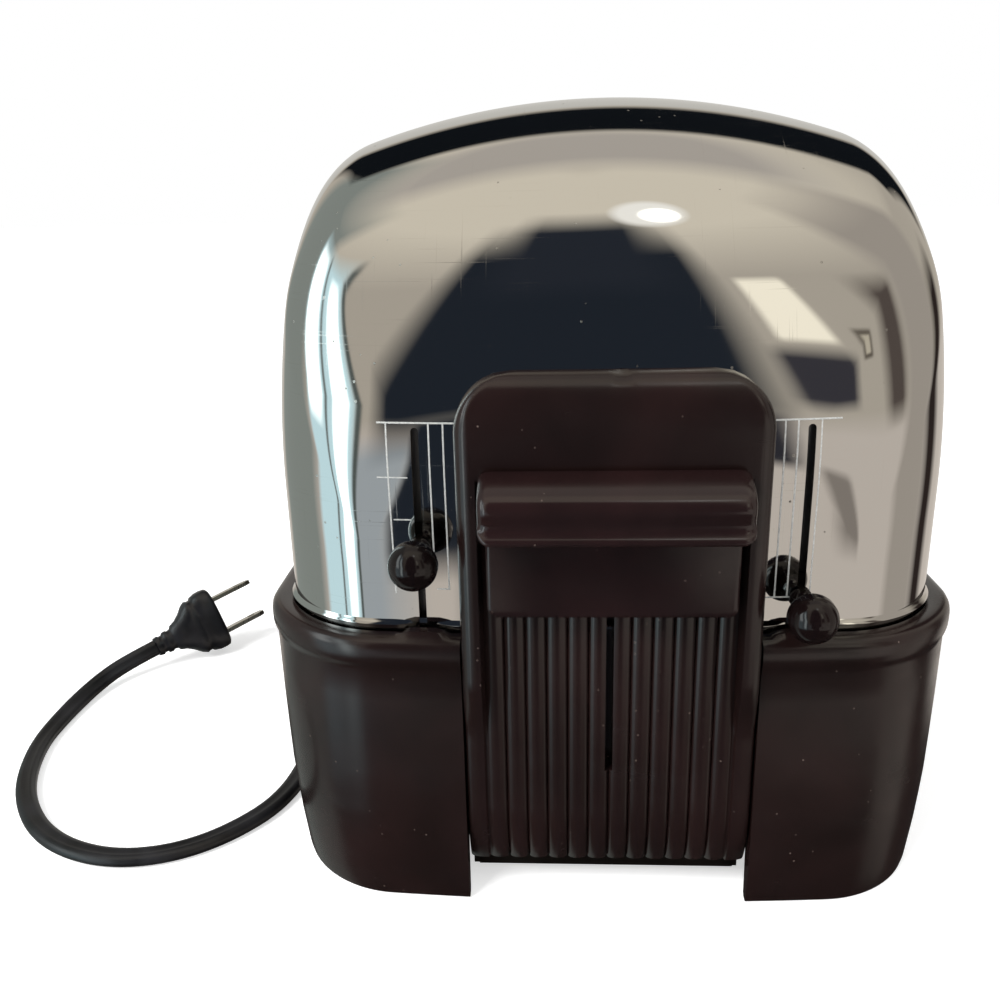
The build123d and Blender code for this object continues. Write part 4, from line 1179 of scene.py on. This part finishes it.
# the window is near, so its edges lean as they rise
glass = addNode(sky, "ShaderNodeMath", {"operation": "ADD"}, {0: bearing, 1: leaning})
ways = {"bearing": bearing, "glass": glass, "height": height, "back": axes[1], "side": axes[0],
        "up": axes[2]}

# what the mirror shows, painted one over the other: each runs from low to high, with a soft edge;
# bearing 0 is straight in front of the toaster and 90 is to its right, height is in degrees
roomPatches = [  # colour, strength, limits
    ("#B9B1A9", 1, {"height": (-95, 1, 3)}),  # table
    ("#9AA1A6", 1, {"height": (-95, -3, 3), "bearing": (-38, -17, 3)}),
    ("#7E7771", 1, {"height": (-20, -11, 1), "bearing": (25, 31, 1)}),
    ("#2B2726", 1, {"height": (-95, -28, 1.5)}),  # dark floor beyond it
    ("#CDC5B6", 1, {"height": (52, 95, 9)}),  # ceiling
    ("#A8A29B", 1, {"height": (60, 95, 6), "back": (0.05, 0.45, 0.08)}),
    ("#7F8581", 1, {"height": (-95, 60, 5), "bearing": (-140, -78, 5)}),  # shade beside the window
    ("#C3E0E8", 1, {"height": (-30, 48, 4), "glass": (-74, -36, 2)}),  # window
    ("#F2FBFB", 2.6, {"height": (3, 44, 4), "glass": (-72, -58, 2)}),
    ("#EAF8F8", 3.0, {"height": (-24, 40, 4), "glass": (-48, -40, 1.5)}),
    ("#4F5553", 1, {"height": (-30, 50, 2), "glass": (-36, -33.5, 0.7)}),  # its frame
    ("#6A706E", 1, {"height": (-30, 48, 2), "glass": (-55, -53, 0.6)}),
    ("#1E232B", 1, {"height": (-2, 58, 7), "bearing": (-28, 22, 3)}),  # dark curtain behind the camera
    ("#23272F", 1, {"height": (40, 65, 4), "bearing": (-19, 15, 5)}),
    ("#1E232B", 1, {"height": (-22, 2, 1), "bearing": (-18.5, 2, 0.7)}),
    ("#1E232B", 1, {"height": (-95, 2, 1), "bearing": (-10, 14, 2)}),
    ("#2A2A30", 1, {"height": (-12, 2, 1.5), "bearing": (2, 22, 1.5)}),
    ("#35343A", 1, {"height": (6, 21, 2), "bearing": (25, 37, 1.5)}),
    ("#C9C3B4", 1.6, {"height": (24, 42, 1), "bearing": (27, 36, 0.8)}),  # door
    ("#5E574F", 1, {"height": (19, 28, 0.6), "bearing": (40, 44, 0.6)}),  # small frame
    ("#B4AC9C", 1, {"height": (20.5, 26.5, 0.4), "bearing": (40.9, 43.1, 0.4)}),
    ("#4F4743", 1, {"height": (2, 40, 3), "bearing": (50, 62, 3)}),
    ("#9A938B", 1, {"height": (-40, 60, 8), "bearing": (64, 98, 4)}),
    ("#2A2321", 1, {"height": (-40, 20, 6), "bearing": (100, 118, 5)}),
    ("#0F1216", 1, {"back": (0.44, 0.79, 0.025), "up": (0.2, 1.1, 0.06), "side": (-0.47, 0.68, 0.03)}),
    ("#B5B3AE", 1, {"back": (0.82, 1.1, 0.02)}),
]
lampPatches = [  # a ceiling lamp in its paler surround: bearing, height, size in degrees, brightness
    (22, 67, 5.0, 0.86), (25, 66, 2.3, 2.6),
]


def band(way, low, high, soft):
    # 1 between low and high in this way of looking, 0 outside, with an edge as soft as this
    rising = addNode(sky, "ShaderNodeMapRange", limits(low - soft, low + soft), {"Value": ways[way]})
    falling = addNode(sky, "ShaderNodeMapRange", limits(high + soft, high - soft), {"Value": ways[way]})
    return addNode(sky, "ShaderNodeMath", {"operation": "MULTIPLY"}, {0: rising, 1: falling})


def spot(bearing, height, size, soft=0.9):
    # 1 inside a round patch of this size in degrees
    east, up = math.radians(bearing), math.radians(height)
    way = (math.sin(east) * math.cos(up), -math.cos(east) * math.cos(up), math.sin(up))
    near = addNode(sky, "ShaderNodeVectorMath", {"operation": "DOT_PRODUCT", 1: way}, {0: direction}, 1)
    edge = [math.cos(math.radians(size + more)) for more in (soft, -soft)]
    return addNode(sky, "ShaderNodeMapRange", limits(*edge), {"Value": near})


def paintOver(under, mask, colour):
    return addNode(sky, "ShaderNodeMix", {"data_type": "RGBA", 7: colour}, {0: mask, 6: under}, 2)


picture = addNode(sky, "ShaderNodeRGB")
picture.default_value = toLinear("#A8A196")  # walls
for colour, strength, borders in roomPatches:
    mask = None
    for way, (low, high, soft) in borders.items():
        links = {0: mask, 1: band(way, low, high, soft)}
        mask = addNode(sky, "ShaderNodeMath", {"operation": "MULTIPLY"}, links) if mask else links[1]
    picture = paintOver(picture, mask, [c * strength for c in toLinear(colour)[:3]] + [1])
for lampBearing, lampHeight, lampSize, lampGlow in lampPatches:
    mask = spot(lampBearing, lampHeight, lampSize)
    picture = paintOver(picture, mask, (lampGlow, lampGlow * 0.98, lampGlow * 0.93, 1))
brighter = {"operation": "SCALE", "Scale": studioSet["mirror"]}
mirrored = addNode(sky, "ShaderNodeVectorMath", brighter, {0: picture})
rays = addNode(sky, "ShaderNodeLightPath", out=None).outputs
mirrorRays = {0: rays["Is Glossy Ray"], 1: rays["Is Transmission Ray"]}
mirrorRay = addNode(sky, "ShaderNodeMath", {"operation": "MAXIMUM"}, mirrorRays)
dim = {"data_type": "RGBA", 6: [studioSet["world"]] * 3 + [1]}
lighting = addNode(sky, "ShaderNodeMix", dim, {0: mirrorRay, 7: mirrored}, 2)
lighting = paintOver(lighting, rays["Is Camera Ray"], (1, 1, 1, 1))
sky.links.new(lighting, sky.nodes["Background"].inputs["Color"])

bpy.context.scene.view_settings.view_transform = "Standard"
